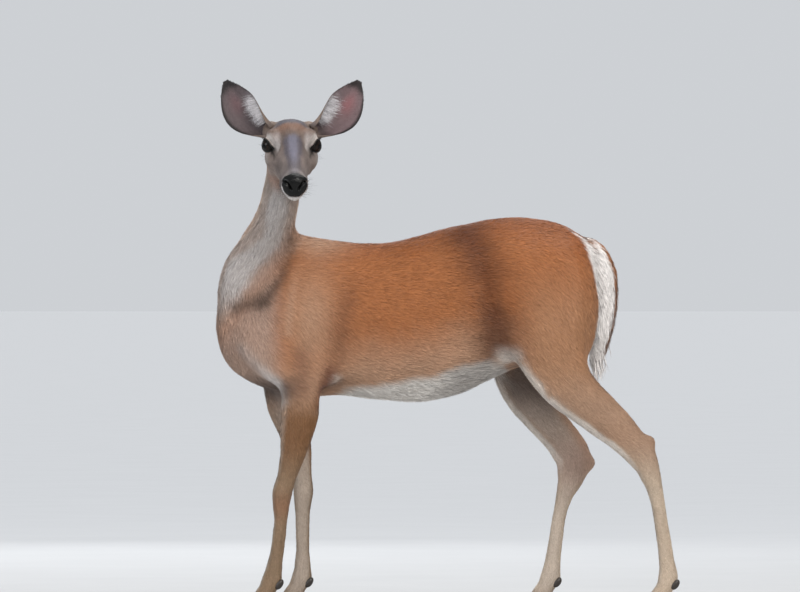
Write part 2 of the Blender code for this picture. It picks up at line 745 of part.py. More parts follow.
def foot_place(leg):
    """The middle of the foot, and the back of its fetlock."""
    point, _ = leg_at(leg, CORONET_Z)
    fetlock, _ = leg_at(leg, DEWCLAW_Z)
    return (point.x - 0.0065, point.y), (fetlock.x + 0.0215, fetlock.y)


def stand_on_origin(deer):
    """Moves everything so that the origin is below the middle of the whole, on the ground."""
    corners = np.array([v.co for piece in deer.objects for v in piece.data.vertices])
    middle = (corners.min(axis=0) + corners.max(axis=0)) / 2
    for piece in deer.objects:
        piece.data.transform(Matrix.Translation((-middle[0], -middle[1], 0)))


def main():
    clear_scene()
    deer = make_collection("white_tailed_deer")
    flesh = make_collection("flesh", helper=True)
    cutters = make_collection("cutters", helper=True)
    make_trunk(flesh)
    make_neck(flesh)
    make_legs(flesh)
    make_head(flesh)
    body = join_flesh(flesh, deer)
    fat = fattened(body, cutters)
    trimmed = [make_tail(deer)]
    for side, word in ((-1, "right"), (1, "left")):
        subtract(body, make_eye(f"eye_{word}", side, deer, cutters))
        trimmed.append(make_ear(f"ear_{word}", side, deer))
    for leg in LEGS:
        sole, fetlock = foot_place(leg)
        for side, word in ((-1, "left"), (1, "right")):
            make_claw(f"hoof_{leg}_{word}_claw", sole, side, deer)
            trimmed.append(make_dewclaw(f"dewclaw_{leg}_{word}", fetlock, side, deer))
    for piece in trimmed:
        subtract(piece, fat)
        keep_largest(piece)
    sheets_from = len(cutters.objects)
    part_trunk(cutters)
    part_head(cutters)
    part_legs(cutters)
    for cutter in list(cutters.objects)[sheets_from:]:
        subtract(body, cutter)
    split_body(body, deer)
    stand_on_origin(deer)


main()
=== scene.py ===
"""White-tailed doe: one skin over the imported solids, its coat as tufts of hair, its eyes and hooves.

Positions are worked out in the modelling frame of the solids, whose origin is OFFSET away from the row's.
The head has a frame of its own: u towards the nose, s to her left, w up, from midway between the eyes.
"""

import math
from types import SimpleNamespace

import bmesh
import bpy
import numpy as np
from mathutils import Matrix, Vector
from mathutils.bvhtree import BVHTree
from mathutils.kdtree import KDTree


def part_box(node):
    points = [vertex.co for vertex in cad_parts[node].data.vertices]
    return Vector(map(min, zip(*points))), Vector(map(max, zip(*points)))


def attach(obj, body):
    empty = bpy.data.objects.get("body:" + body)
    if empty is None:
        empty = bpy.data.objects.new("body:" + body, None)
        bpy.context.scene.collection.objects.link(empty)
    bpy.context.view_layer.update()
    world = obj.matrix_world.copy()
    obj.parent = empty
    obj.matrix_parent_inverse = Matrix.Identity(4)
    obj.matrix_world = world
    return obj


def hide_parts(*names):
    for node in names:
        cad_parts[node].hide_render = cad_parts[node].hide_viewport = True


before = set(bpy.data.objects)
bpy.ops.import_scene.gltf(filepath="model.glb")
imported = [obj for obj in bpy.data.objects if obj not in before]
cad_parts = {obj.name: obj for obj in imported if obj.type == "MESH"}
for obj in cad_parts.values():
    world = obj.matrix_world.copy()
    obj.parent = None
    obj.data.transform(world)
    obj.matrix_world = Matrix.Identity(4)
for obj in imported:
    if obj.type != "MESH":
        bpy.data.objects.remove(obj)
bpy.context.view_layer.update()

# --- the head's own frame


def node_middle(name):
    low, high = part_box(name)
    return (low + high) / 2


EYES = {1: node_middle("eye_left"), -1: node_middle("eye_right")}
EYE_RADIUS = 0.0168
BROW = (EYES[1] + EYES[-1]) / 2
OFFSET = np.array(BROW - Vector((-0.3245, -0.185, 1.021)))
HEAD_PITCH = math.radians(25)
SIDE = (EYES[1] - EYES[-1]).normalized()
AHEAD = SIDE.cross(Vector((0, 0, 1))).normalized()
FORWARD = AHEAD * math.cos(HEAD_PITCH) - Vector((0, 0, 1)) * math.sin(HEAD_PITCH)
HEAD = np.array(Matrix((FORWARD, SIDE, FORWARD.cross(SIDE))))  # rows are u, s and w
BROW_AT = np.array(BROW)
EYE_SPREAD = (EYES[1] - EYES[-1]).length / 2


def to_head(points):
    return (points - BROW_AT) @ HEAD.T


def from_head(points):
    return np.asarray(points, float) @ HEAD + BROW_AT


# --- number helpers


def ramp(low, high, x):
    t = np.clip((x - low) / (high - low), 0, 1)
    return t * t * (3 - 2 * t)


def fade(low, high, x):
    return 1 - ramp(low, high, x)


def bell(x, width):
    return np.exp(-((x / width) ** 2))


def blob(points, centre, sizes):
    """1 at the centre, fading over the sizes."""
    return np.exp(-0.5 * (((points - np.asarray(centre)) / np.asarray(sizes)) ** 2).sum(axis=1))


def mix(colour, other, share):
    return colour + (np.asarray(other) - colour) * np.asarray(share)[:, None]


def paint(colour, *coats):
    """The colour under one coat after another, each a tint and its share."""
    for tint, share in coats:
        colour = mix(colour, tint, share)
    return colour


def blend(a, b, share):
    return a * (1 - share)[:, None] + b * share[:, None]


def evenly(row, count):
    return np.tile(np.array(row, float), (count, 1))


def columns(*parts):
    """One row of values for each point; a part may be a single number."""
    return np.stack(np.broadcast_arrays(*parts), axis=1)


def mirrored(points):
    """The points, with those on the negative side moved across to the positive one."""
    return columns(points[:, 0], np.abs(points[:, 1]), points[:, 2])


def unit(vectors):
    return vectors / np.maximum(np.linalg.norm(vectors, axis=1), 1e-9)[:, None]


def dot(a, b):
    return (a * b).sum(axis=1)


def beside(vectors, way, share=1):
    """The vectors less this share of what they have along the way."""
    return vectors - (dot(vectors, way) * share)[:, None] * way


def noise(points, size, seed=0):
    """Smooth value noise from -1 to 1."""
    p = points / size + 137.31 + 17.17 * seed
    cell = np.floor(p).astype(np.int64)
    f = p - cell
    f = f * f * (3 - 2 * f)
    total = np.zeros(len(p))
    for corner in range(8):
        bit = np.array([corner & 1, corner >> 1 & 1, corner >> 2 & 1])
        key = ((cell + bit) * np.array([73856093, 19349663, 83492791])).sum(axis=1) + seed * 7919
        key = (key ^ key >> 13) * 1274126177 & 0x7FFFFFFF
        value = (key ^ key >> 15) % 65536 / 32767.5 - 1
        total += value * np.prod(np.where(bit, f, 1 - f), axis=1)
    return total


def nearest_on(points, path):
    """For each point the nearest place on a polyline: its distance, share of the length, point and way."""
    path = np.asarray(path, float)
    runs = np.diff(path, axis=0)
    lengths = np.linalg.norm(runs, axis=1)
    starts = np.concatenate([[0], np.cumsum(lengths)])
    best = np.full(len(points), np.inf)
    share = np.zeros(len(points))
    foot = np.zeros((len(points), 3))
    way = np.zeros((len(points), 3))
    for a, run, length, start in zip(path, runs, lengths, starts):
        t = np.clip((points - a) @ run / length**2, 0, 1)
        at = a + t[:, None] * run
        far = np.linalg.norm(points - at, axis=1)
        closer = far < best
        best[closer] = far[closer]
        share[closer] = (start + t[closer] * length) / starts[-1]
        foot[closer] = at[closer]
        way[closer] = run / length
    return best, share, foot, way


def stripe(points, path, width):
    """1 along a line, fading over its width."""
    return bell(nearest_on(points, path)[0], width)


def curve_through(stations, count):
    """count rows read from a smooth curve through the stations."""
    rows = np.array(stations, float)
    ends = np.vstack([2 * rows[0] - rows[1], rows, 2 * rows[-1] - rows[-2]])
    at = np.linspace(0, len(rows) - 1, count)
    i = np.minimum(at.astype(int), len(rows) - 2)
    t = (at - i)[:, None]
    a, b, c, d = ends[i], ends[i + 1], ends[i + 2], ends[i + 3]
    bend, twist = 2 * a - 5 * b + 4 * c - d, 3 * b - a - 3 * c + d
    return 0.5 * (2 * b + (c - a) * t + bend * t**2 + twist * t**3)


# --- landmarks on the body

# How far out each leg stands from the middle, from its top down to the sole, and the x and z of its places.
LEG_OUT = {
    "fore": (0.088, 0.085, 0.082, 0.077, 0.075, 0.074, 0.074, 0.074),
    "hind": (0.075, 0.088, 0.094, 0.094, 0.091, 0.088, 0.085, 0.083, 0.082, 0.081, 0.08, 0.08, 0.08, 0.08,
             0.08),
}
LEG_PATHS = {
    "fore_left": [
        (-0.303, 0.52), (-0.312, 0.415), (-0.324, 0.35), (-0.346, 0.27), (-0.35, 0.205),
        (-0.364, 0.103), (-0.379, 0.06), (-0.401, 0.012)],
    "fore_right": [
        (-0.348, 0.52), (-0.326, 0.415), (-0.311, 0.35), (-0.302, 0.27),
        (-0.304, 0.205), (-0.304, 0.103), (-0.316, 0.06), (-0.338, 0.012)],
    "hind_left": [
        (0.222, 0.725), (0.228, 0.655), (0.236, 0.585), (0.268, 0.517), (0.316, 0.464),
        (0.365, 0.42), (0.402, 0.384), (0.432, 0.35), (0.45, 0.312), (0.463, 0.265), (0.474, 0.205),
        (0.486, 0.125), (0.489, 0.088), (0.48, 0.062), (0.457, 0.012)],
    "hind_right": [
        (0.212, 0.725), (0.2, 0.655), (0.178, 0.59), (0.172, 0.525), (0.193, 0.472),
        (0.226, 0.426), (0.26, 0.386), (0.286, 0.345), (0.283, 0.302), (0.268, 0.262), (0.256, 0.215),
        (0.243, 0.125), (0.238, 0.088), (0.227, 0.062), (0.204, 0.012)],
}
LEGS = {
    name: [
        (x, -out if name.endswith("left") else out, level)
        for out, (x, level) in zip(LEG_OUT[name[:4]], path)
    ]
    for name, path in LEG_PATHS.items()
}
NECK = [(-0.38, 0.0, 0.61), (-0.402, 0.0, 0.67), (-0.408, -0.004, 0.735), (-0.384, -0.02, 0.805),
        (-0.36, -0.046, 0.87), (-0.347, -0.074, 0.93), (-0.336, -0.094, 0.985), (-0.327, -0.11, 1.02)]
NECK_TWIST = [0, -6, -20, -45, -70, -85, -90, -90]
BACK_LINE = ((-0.32, -0.235, -0.13, -0.03, 0.05, 0.12, 0.19, 0.26, 0.315, 0.342),
             (0.834, 0.824, 0.817, 0.838, 0.859, 0.871, 0.872, 0.86, 0.828, 0.785))
BELLY_EDGE = ((-0.3, -0.25, -0.222, -0.178, -0.091, -0.048, -0.004, 0.039, 0.093, 0.12, 0.16, 0.2),
              (0.44, 0.47, 0.498, 0.505, 0.514, 0.521, 0.534, 0.549, 0.558, 0.549, 0.507, 0.465))
RUMP_EDGE = ((0.48, 0.535, 0.578, 0.643, 0.687, 0.73, 0.774, 0.815),
             (0.325, 0.317, 0.326, 0.336, 0.343, 0.345, 0.338, 0.32))


def tree_of(name):
    """The CAD node as a tree for nearest points."""
    mesh = bmesh.new()
    mesh.from_mesh(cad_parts[name].data)
    found = BVHTree.FromBMesh(mesh)
    mesh.free()
    return found


TAIL_TREE = tree_of("tail")


def zones(points):
    """Where on the animal each point is, as shares from 0 to 1 and as places on its paths."""
    p = points - OFFSET
    x, y, level = p.T
    local = to_head(points)
    z = SimpleNamespace(p=p, local=local)
    behind_jaw = (local - np.array([-0.066, 0, -0.072])) @ np.array([0.493, 0, 0.87])
    from_face = np.linalg.norm(local - np.array([0.03, 0, 0]), axis=1)
    z.head = ramp(-0.014, 0.014, behind_jaw) * (from_face < 0.24)
    z.face = ramp(-0.03, 0.045, behind_jaw) * (from_face < 0.27)
    above_chest = (p - np.array([-0.405, 0, 0.722])) @ np.array([-0.8, 0, 0.6])
    z.neck = ramp(-0.03, 0.03, above_chest) * (1 - z.head)
    _, z.neck_share, foot, way = nearest_on(p, curve_through(NECK, 40))
    twist = np.radians(np.interp(z.neck_share * 7, range(8), NECK_TWIST))
    side = unit(beside(columns(np.sin(twist), np.cos(twist), 0), way))
    z.neck_way, z.neck_out = way, p - foot
    out = unit(beside(p - foot, way))
    z.throat = dot(out, np.cross(way, side))
    z.neck_side = dot(out, side)
    best = np.full(len(p), np.inf)
    z.leg_way, z.leg_out, z.hind = np.zeros((len(p), 3)), np.zeros((len(p), 3)), np.zeros(len(p))
    for name, path in LEGS.items():
        far, _, foot, way = nearest_on(p, path)
        closer = far < best
        best[closer] = far[closer]
        z.leg_way[closer] = way[closer]
        z.leg_out[closer] = (p - foot)[closer]
        z.hind[closer] = name.startswith("hind")
    top = np.where(z.hind > 0, 0.56, 0.5)
    low = np.where(z.hind > 0, 0.44, 0.43)
    reach = np.interp(level, (0.4, 0.56), (0.055, 0.115))
    z.leg = fade(low, top, level) * fade(reach, reach + 0.03, best)
    z.leg_ahead = dot(unit(z.leg_out), unit(columns(z.leg_way[:, 2], 0, -z.leg_way[:, 0])))
    z.tail = np.zeros(len(p))
    for i in np.flatnonzero((x > 0.27) & (level > 0.5) & (np.abs(y) < 0.06)):
        z.tail[i] = TAIL_TREE.find_nearest(points[i])[3] < 0.0115
    z.over_belly = level - np.interp(x, *BELLY_EDGE)
    z.height = z.over_belly / (np.interp(x, *BACK_LINE) - np.interp(x, *BELLY_EDGE))
    z.past_rump = x - np.interp(level, *RUMP_EDGE)
    return z


# --- eyelid openings


def eye_axes(side):
    """Out of the eye, towards its front corner, and up across the lids."""
    axis = Vector((0.58, 0.8 * side, 0.12)).normalized()
    corner = Vector((0.8, -0.45 * side, -0.3))
    corner = (corner - corner.dot(axis) * axis).normalized()
    up = corner.cross(axis) * side
    return np.array(axis), np.array(corner), np.array(up)


def eye_polar(local, side):
    """Distance from the eye's centre, distance round the eyeball from its axis, and the angle round it."""
    axis, corner, up = eye_axes(side)
    away = local - eye_centre(side)
    far = np.linalg.norm(away, axis=1)
    ways = away / np.maximum(far, 1e-9)[:, None]
    arc = EYE_RADIUS * np.arccos(np.clip(ways @ axis, -1, 1))
    return far, arc, np.arctan2(ways @ up, ways @ corner)


LID_FRONT, LID_BACK, LID_UP, LID_DOWN = 0.0205, 0.0172, 0.0122, 0.0112
LID_SIDES = 96


def eye_centre(side):
    return np.array([0, EYE_SPREAD * side, 0])


def lid_reach(angle):
    """How far the almond opening between the lids reaches from the eye's axis at this angle."""
    long = np.where(np.cos(angle) > 0, LID_FRONT, LID_BACK)
    tall = np.where(np.sin(angle) > 0, LID_UP, LID_DOWN)
    power = 1.72
    c, s = np.abs(np.cos(angle)), np.abs(np.sin(angle))
    return ((c / long) ** power + (s / tall) ** power) ** (-1 / power)


def lid_gap(local):
    """Distance outside the nearer eye's opening, along the skin, and that eye's own distance."""
    side = np.where(local[:, 1] > 0, 1, -1)
    gap, far = np.full(len(local), 1.0), np.full(len(local), 1.0)
    for s in (-1, 1):
        here = side == s
        d, arc, angle = eye_polar(local[here], s)
        gap[here] = arc - lid_reach(angle)
        far[here] = d
    return gap, far


# --- ears

EAR_RIB = ((0.04, 0.058, 0.029), (0.107, 0.078, 0.06), (0.144, 0.098, 0.1385))
EAR_FACING = Vector((0.22, -1, -0.1))
# From root to tip: the radius of the section's arc, and how far it curls to each side in degrees.
EAR_SECTIONS = [(0.015, 150), (0.019, 125), (0.0265, 100), (0.035, 84), (0.042, 73),
                (0.047, 62), (0.05, 50), (0.052, 37), (0.053, 23), (0.053, 7)]
SHELL_ROWS, SHELL_PLACES = 44, 30
LOOKUP_ROWS, LOOKUP_PLACES = 70, 36
EAR_ROWS = 24  # rows along the ear that the lie of its hair is read from
EAR_HALF = 0.0009  # half of the ear's thickness


def ear_frames(side, rows):
    """Along the ear: the share of its length, midrib point, across, facing and tangent, radius and curl."""
    rib = [Vector(p) for p in EAR_RIB]
    found = []
    sections = curve_through(EAR_SECTIONS, rows).tolist()
    for t, (radius, curl) in zip(np.linspace(0, 1, rows).tolist(), sections):
        middle = (1 - t) ** 2 * rib[0] + 2 * t * (1 - t) * rib[1] + t**2 * rib[2]
        tangent = (2 * (1 - t) * (rib[1] - rib[0]) + 2 * t * (rib[2] - rib[1])).normalized()
        facing = (EAR_FACING - EAR_FACING.dot(tangent) * tangent).normalized()
        across = tangent.cross(facing)
        turn = [Vector((v.x * side, v.y, v.z)) for v in (middle, across, facing, tangent)]
        found.append((t, *turn, radius, math.radians(curl)))
    return found


def ear_point(row, share, lift):
    """share runs from -1 at one rim to 1 at the other; lift is out of the hollow, in metres."""
    _, middle, across, facing, _, radius, curl = row
    bend = share * curl
    inward = facing * math.cos(bend) - across * math.sin(bend)
    return (BROW + middle + across * radius * math.sin(bend) + facing * radius * (1 - math.cos(bend))
            + inward * lift)


def ear_shell(side):
    """The ear's skin as a closed thin shell, thickest along the midrib and at the root."""
    mesh = bmesh.new()
    layers = []
    for face in (1, -1):
        grid = []
        for row in ear_frames(side, SHELL_ROWS):
            t = row[0]
            line = []
            for share in np.linspace(-1, 1, SHELL_PLACES).tolist():
                rim = 1 - abs(share) ** 4
                half = 0.0004 + 0.0006 * rim * (1 - 0.4 * t) + 0.0012 * max(0.0, 0.25 - t) * 4
                along = math.sin(math.pi * min(t * 1.15, 1))
                ridges = 0.0007 * math.cos(share * 11) * rim * along * (face > 0)
                line.append(mesh.verts.new(ear_point(row, share * 0.975, face * half + ridges - 0.0003)))
            grid.append(line)
        layers.append(grid)
    for grid, way in zip(layers, (1, -1)):
        for a, b in zip(grid, grid[1:]):
            for k in range(len(a) - 1):
                mesh.faces.new((a[k], a[k + 1], b[k + 1], b[k])[::way])
    # The border of each layer: up one rim, over the tip, down the other rim.
    inner, outer = (
        g[0] + [r[-1] for r in g[1:]] + g[-1][-2::-1] + [r[0] for r in g[-2:0:-1]] for g in layers
    )
    for k in range(len(inner)):
        j = (k + 1) % len(inner)
        mesh.faces.new((inner[j], inner[k], outer[k], outer[j]))
    bmesh.ops.recalc_face_normals(mesh, faces=mesh.faces[:])
    return mesh


def ear_lookup():
    """A tree of points over both ears, each with its side, length share, place across and layer."""
    places, facts = [], []
    for side in (-1, 1):
        for row in ear_frames(side, LOOKUP_ROWS):
            for share in np.linspace(-1, 1, LOOKUP_PLACES).tolist():
                for lift in (EAR_HALF, -EAR_HALF):
                    places.append(ear_point(row, share, lift))
                    facts.append((side, row[0], share, lift))
    tree = KDTree(len(places))
    for i, place in enumerate(places):
        tree.insert(place, i)
    tree.balance()
    return tree, np.array(facts)


EAR_TREE, EAR_FACTS = ear_lookup()


def ear_facts(points):
    """Each point's distance to the nearer ear's surface, and the ear's facts at the nearest place."""
    far = np.full(len(points), 1.0)
    facts = np.zeros((len(points), 4))
    reach = np.linalg.norm(points - BROW_AT, axis=1)
    for i in np.flatnonzero((reach < 0.26) & (to_head(points)[:, 2] > -0.03)):
        _, index, distance = EAR_TREE.find(points[i])
        far[i] = distance
        facts[i] = EAR_FACTS[index]
    return far, facts


def ear_rows(facts, side):
    """Which points are at this ear, and the ear's across, facing, tangent and curl beside them."""
    here = facts[:, 0] == side
    at = np.round(facts[here, 1] * (EAR_ROWS - 1)).astype(int)
    rows = ear_frames(side, EAR_ROWS)
    return here, *(np.array([row[k] for row in rows])[at] for k in (2, 3, 4, 6))


# --- skin


def in_hollow(facts, normals):
    """Whether each point near an ear is on the hollow's surface, by the way that its normal points."""
    inside = np.zeros(len(facts), dtype=bool)
    for side in (-1, 1):
        here, across, facing, _, curl = ear_rows(facts, side)
        bend = (facts[here, 2] * curl)[:, None]
        inside[here] = dot(normals[here], facing * np.cos(bend) - across * np.sin(bend)) > 0
    return inside


def arrays_of(data):
    """Points and triangles of a mesh."""
    points = np.empty(len(data.vertices) * 3, np.float32)
    data.vertices.foreach_get("co", points)
    data.calc_loop_triangles()
    faces = np.empty(len(data.loop_triangles) * 3, np.int32)
    data.loop_triangles.foreach_get("vertices", faces)
    return points.reshape(-1, 3).astype(float), faces.reshape(-1, 3)


def normals_of(points, faces):
    a, b, c = points[faces[:, 0]], points[faces[:, 1]], points[faces[:, 2]]
    face = np.cross(b - a, c - a)
    total = np.zeros_like(points)
    for k in range(3):
        for axis in range(3):
            total[:, axis] += np.bincount(faces[:, k], face[:, axis], len(points))
    return unit(total)


def smooth(points, faces, strength, rounds, back=-0.57):
    """Laplacian smoothing, strength per point: each round pulls in and, so as not to shrink, pushes back."""
    pairs = np.concatenate([faces[:, [0, 1]], faces[:, [1, 2]], faces[:, [2, 0]]])
    a = np.concatenate([pairs[:, 0], pairs[:, 1]])
    b = np.concatenate([pairs[:, 1], pairs[:, 0]])
    degree = np.maximum(np.bincount(a, minlength=len(points)), 1)
    for _ in range(rounds):
        for factor in (0.55, back) if back else (0.55,):
            mean = np.stack([np.bincount(a, points[b, k], len(points)) for k in range(3)], axis=1)
            points = points + (mean / degree[:, None] - points) * (factor * strength)[:, None]
    return points


def placed(name, data, material=None):
    """The data as an object in the scene."""
    made = bpy.data.objects.new(name, data)
    bpy.context.scene.collection.objects.link(made)
    if material:
        data.materials.append(material)
    return made


def object_from(name, mesh, material=None):
    """A bmesh as an object in the scene."""
    data = bpy.data.meshes.new(name)
    mesh.to_mesh(data)
    mesh.free()
    return placed(name, data, material)


def baked(target):
    """The object's evaluated mesh becomes its own, with no modifiers left."""
    graph = bpy.context.evaluated_depsgraph_get()
    graph.update()
    data = bpy.data.meshes.new_from_object(target.evaluated_get(graph))
    target.modifiers.clear()
    target.data = data


def combine(target, other, operation):
    cut = target.modifiers.new("combine", "BOOLEAN")
    cut.operation = operation
    cut.solver = "MANIFOLD"
    cut.object = other
    baked(target)
    bpy.data.objects.remove(other, do_unlink=True)


def skirt(mesh, rings):
    """Faces between each ring of a mesh's points and the next."""
    for a, b in zip(rings, rings[1:]):
        for k in range(len(a)):
            j = (k + 1) % len(a)
            mesh.faces.new((a[k], a[j], b[j], b[k]))


FLESH = [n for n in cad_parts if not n.startswith(("eye", "hoof", "dewclaw"))]
GROW = 0.0008  # each solid is grown this much before the join, to close the cuts between them
SKIN_VOXEL = 0.0036


def joined_flesh():
    """The solids of flesh, but for the ears, as one rough closed skin at the coat's outer face."""
    mesh = bmesh.new()
    for name in FLESH:
        if not name.startswith("ear"):
            mesh.from_mesh(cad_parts[name].data)
    bmesh.ops.remove_doubles(mesh, verts=mesh.verts, dist=2e-5)
    mesh.normal_update()
    for vertex, out in [(v, v.normal.copy()) for v in mesh.verts]:
        vertex.co += out * GROW
    for eye in EYES.values():
        bmesh.ops.create_uvsphere(mesh, u_segments=32, v_segments=20, radius=EYE_RADIUS + 0.001,
                                  matrix=Matrix.Translation(eye))
    flesh = object_from("skin", mesh)
    remesh = flesh.modifiers.new("join", "REMESH")
    remesh.mode = "VOXEL"
    remesh.voxel_size = SKIN_VOXEL
    baked(flesh)
    return flesh


def coat_depth(points, z):
    """How far the skin lies below the tips of the coat."""
    x, _, level = z.p.T
    depth = np.full(len(points), 0.006)
    depth += 0.0015 * z.neck
    depth += (0.0022 - depth) * z.leg
    depth += (0.0014 - depth) * z.leg * fade(0.1, 0.16, level)
    depth += (0.0095 - depth) * ramp(0.29, 0.33, x) * ramp(0.47, 0.53, level) * (1 - z.leg)
    depth += (0.0026 - depth) * z.head
    muzzle = ramp(0.05, 0.13, z.local[:, 0]) * z.head
    depth += (0.0014 - depth) * muzzle
    depth -= depth * z.head * ramp(0.0, 0.004, pad_reach(z.local))
    for near in dewclaw_distances(points):
        depth *= ramp(0.01, 0.024, near)
    return depth


def dewclaw_distances(points):
    """From every point to the middle of each dewclaw in turn."""
    names = [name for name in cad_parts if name.startswith("dewclaw")]
    return [np.linalg.norm(points - np.array(node_middle(name)), axis=1) for name in names]


def pad_reach(local):
    """How far in front of the nose pad's edge a point lies: the pad is bare black skin."""
    ahead = np.array([0.055, 0.0, 0.016]) / math.hypot(0.055, 0.016)
    return (local - np.array([0.149, 0.0, 0.008])) @ ahead


def refine(flesh, chosen):
    """Cuts each face whose middle is chosen into four."""
    mesh = bmesh.new()
    mesh.from_mesh(flesh.data)
    mesh.faces.ensure_lookup_table()
    middles = np.array([f.calc_center_median() for f in mesh.faces])
    edges = {e for i in np.flatnonzero(chosen(middles)) for e in mesh.faces[i].edges}
    bmesh.ops.subdivide_edges(mesh, edges=list(edges), cuts=1, use_grid_fill=True)
    mesh.to_mesh(flesh.data)
    mesh.free()


# --- carving of the head


def carve(local, path, width):
    """1 along a line on either side of the head, fading over its width."""
    return stripe(mirrored(local), path, width)


NOSTRIL = [(0.1715, 0.0095, -0.0275), (0.171, 0.0125, -0.021), (0.169, 0.017, -0.0155),
           (0.1655, 0.0212, -0.014), (0.16, 0.0245, -0.016), (0.1545, 0.0262, -0.019)]
MOUTH = [(0.169, 0.0, -0.046), (0.16, 0.014, -0.049), (0.145, 0.0235, -0.05),
         (0.125, 0.0275, -0.047), (0.105, 0.0285, -0.045), (0.092, 0.03, -0.046)]
GLAND = [(0.0185, 0.041, -0.0065), (0.026, 0.039, -0.01), (0.036, 0.036, -0.015)]
# Swellings and hollows on both sides of the face: height, middle and size.
FACE_FORMS = [
    (0.0022, (0.004, 0.03, 0.022), (0.014, 0.01, 0.01)),  # brow above each eye
    (-0.002, (0.02, 0.0, 0.016), (0.02, 0.012, 0.02)),  # between the eyes
    (-0.0022, (-0.036, 0.046, 0.016), (0.014, 0.014, 0.012)),  # temple
    (-0.003, (0.07, 0.03, -0.02), (0.026, 0.01, 0.014)),  # under the cheekbone
    (0.0018, (0.018, 0.048, -0.024), (0.022, 0.012, 0.008)),  # cheekbone
    (0.0016, (0.12, 0.022, -0.034), (0.02, 0.01, 0.01)),  # upper lip
]


def sculpt_head(points, normals, head):
    """Lids, tear ducts, nostrils, lips and the hollows of the face, pushed into the skin in metres."""
    local = to_head(points)
    along = normals @ HEAD.T
    push = np.zeros(len(points))
    for height, centre, sizes in FACE_FORMS:
        push += height * blob(mirrored(local), centre, sizes)
    push -= 0.0012 * carve(local, GLAND, 0.003)
    push += 0.0006 * carve(local, [(0.014, 0.036, 0.004), (0.024, 0.034, -0.006)], 0.004)
    moved = local + along * (push * head)[:, None]

    def lift(height):
        return along * (height * head)[:, None]

    # The rim of each nostril swells, and the nostril runs in and back like a comma.
    rim = carve(moved, NOSTRIL, 0.0068) - carve(moved, NOSTRIL, 0.004)
    moved += lift(0.0011 * np.clip(rim, 0, 1))
    inward = unit(columns(-0.8, -0.35 * np.sign(local[:, 1]), 0.2))
    moved += inward * (0.0075 * carve(local, NOSTRIL, 0.0029) * head)[:, None]
    moved -= lift(0.0022 * carve(local, MOUTH, 0.0015))
    moved += lift(0.0008 * (carve(local, MOUTH, 0.005) - carve(local, MOUTH, 0.0028)))
    # The pad stands a little proud of the hair round it, with a shallow groove down its middle.
    pad = pad_reach(local)
    moved += lift(0.0008 * ramp(-0.001, 0.002, pad))
    middle = bell(local[:, 1], 0.0012) * ramp(0.002, 0.01, pad) * (local[:, 2] < -0.016)
    moved -= lift(0.001 * middle)
    # Lids lie on the eyeball; a fold runs above the upper one.
    for side in (-1, 1):
        near = (np.sign(moved[:, 1]) == side) & (head > 0.5)
        far, arc, angle = eye_polar(moved, side)
        gap = arc - lid_reach(angle)
        goal = EYE_RADIUS + 0.0008 + 0.0015 * ramp(0.0, 0.0035, gap)
        goal = goal - 0.001 * bell(gap - 0.0058, 0.0012) * ramp(-0.2, 0.5, np.sin(angle))
        share = fade(0.0045, 0.012, gap) * near * (far < 0.034)
        way = unit(moved - eye_centre(side))
        moved = moved + way * ((goal - far) * share)[:, None]
    return from_head(moved)


FLANK_FOLD = [(0.085, 0.12, 0.6), (0.11, 0.115, 0.565), (0.12, 0.1, 0.552)]
# Lines on either side of the body with the width and depth of the fold along each; a ridge is below zero.
FOLDS = [
    ([(-0.325, 0.075, 0.815), (-0.352, 0.085, 0.745), (-0.38, 0.085, 0.69)], 0.013, 0.005),
    ([(-0.48, 0.0, 0.68), (-0.45, 0.045, 0.686), (-0.4, 0.08, 0.68)], 0.012, 0.0045),
    ([(-0.325, 0.1, 0.745), (-0.335, 0.11, 0.69), (-0.34, 0.11, 0.64)], 0.016, -0.003),
    ([(-0.375, 0.09, 0.64), (-0.385, 0.085, 0.59), (-0.372, 0.075, 0.545)], 0.014, 0.004),
    ([(-0.225, 0.11, 0.6), (-0.238, 0.105, 0.545), (-0.255, 0.095, 0.495)], 0.012, 0.004),
    ([(-0.17, 0.1, 0.8), (-0.2, 0.12, 0.74), (-0.215, 0.13, 0.67)], 0.02, 0.0025),
    ([(0.255, 0.1, 0.72), (0.262, 0.105, 0.69), (0.272, 0.1, 0.62), (0.285, 0.085, 0.54)], 0.018, 0.0022),
]


def sculpt_body(points, normals, z):
    """The folds and hollows of trunk and legs that stand out through a short coat."""
    p, flat = z.p, mirrored(z.p)
    x, _, level = p.T
    trunk = (1 - z.leg) * (1 - z.neck) * (1 - z.head)
    push = -0.0085 * blob(flat, (0.095, 0.11, 0.72), (0.026, 0.06, 0.075)) * trunk
    push -= 0.004 * stripe(flat, FLANK_FOLD, 0.01)
    for path, width, depth in FOLDS:
        push -= depth * stripe(flat, path, width) * (1 - z.head)
    gullet = z.neck * ramp(0.8, 0.98, z.throat) * ramp(0.02, 0.12, z.neck_share)
    push += 0.0035 * gullet * fade(0.7, 0.95, z.neck_share)
    ribs = np.sin((x + 0.35 * (level - 0.6)) / 0.0062)
    push += 0.0007 * ribs * blob(flat, (-0.06, 0.14, 0.66), (0.08, 0.05, 0.07)) * trunk
    push += 0.0022 * noise(p, 0.075, 4) * trunk + 0.0009 * noise(p, 0.03, 5) * (1 - z.head)
    # A hollow runs down each side of the cannons, between bone and tendon.
    out = unit(z.leg_out)
    between = bell(np.abs(out[:, 1]) - 0.75, 0.25) * (out[:, 0] > -0.4)
    cannon = ramp(0.105, 0.13, level) * fade(0.2, 0.26, level)
    push -= 0.0012 * between * cannon
    return points + normals * push[:, None]
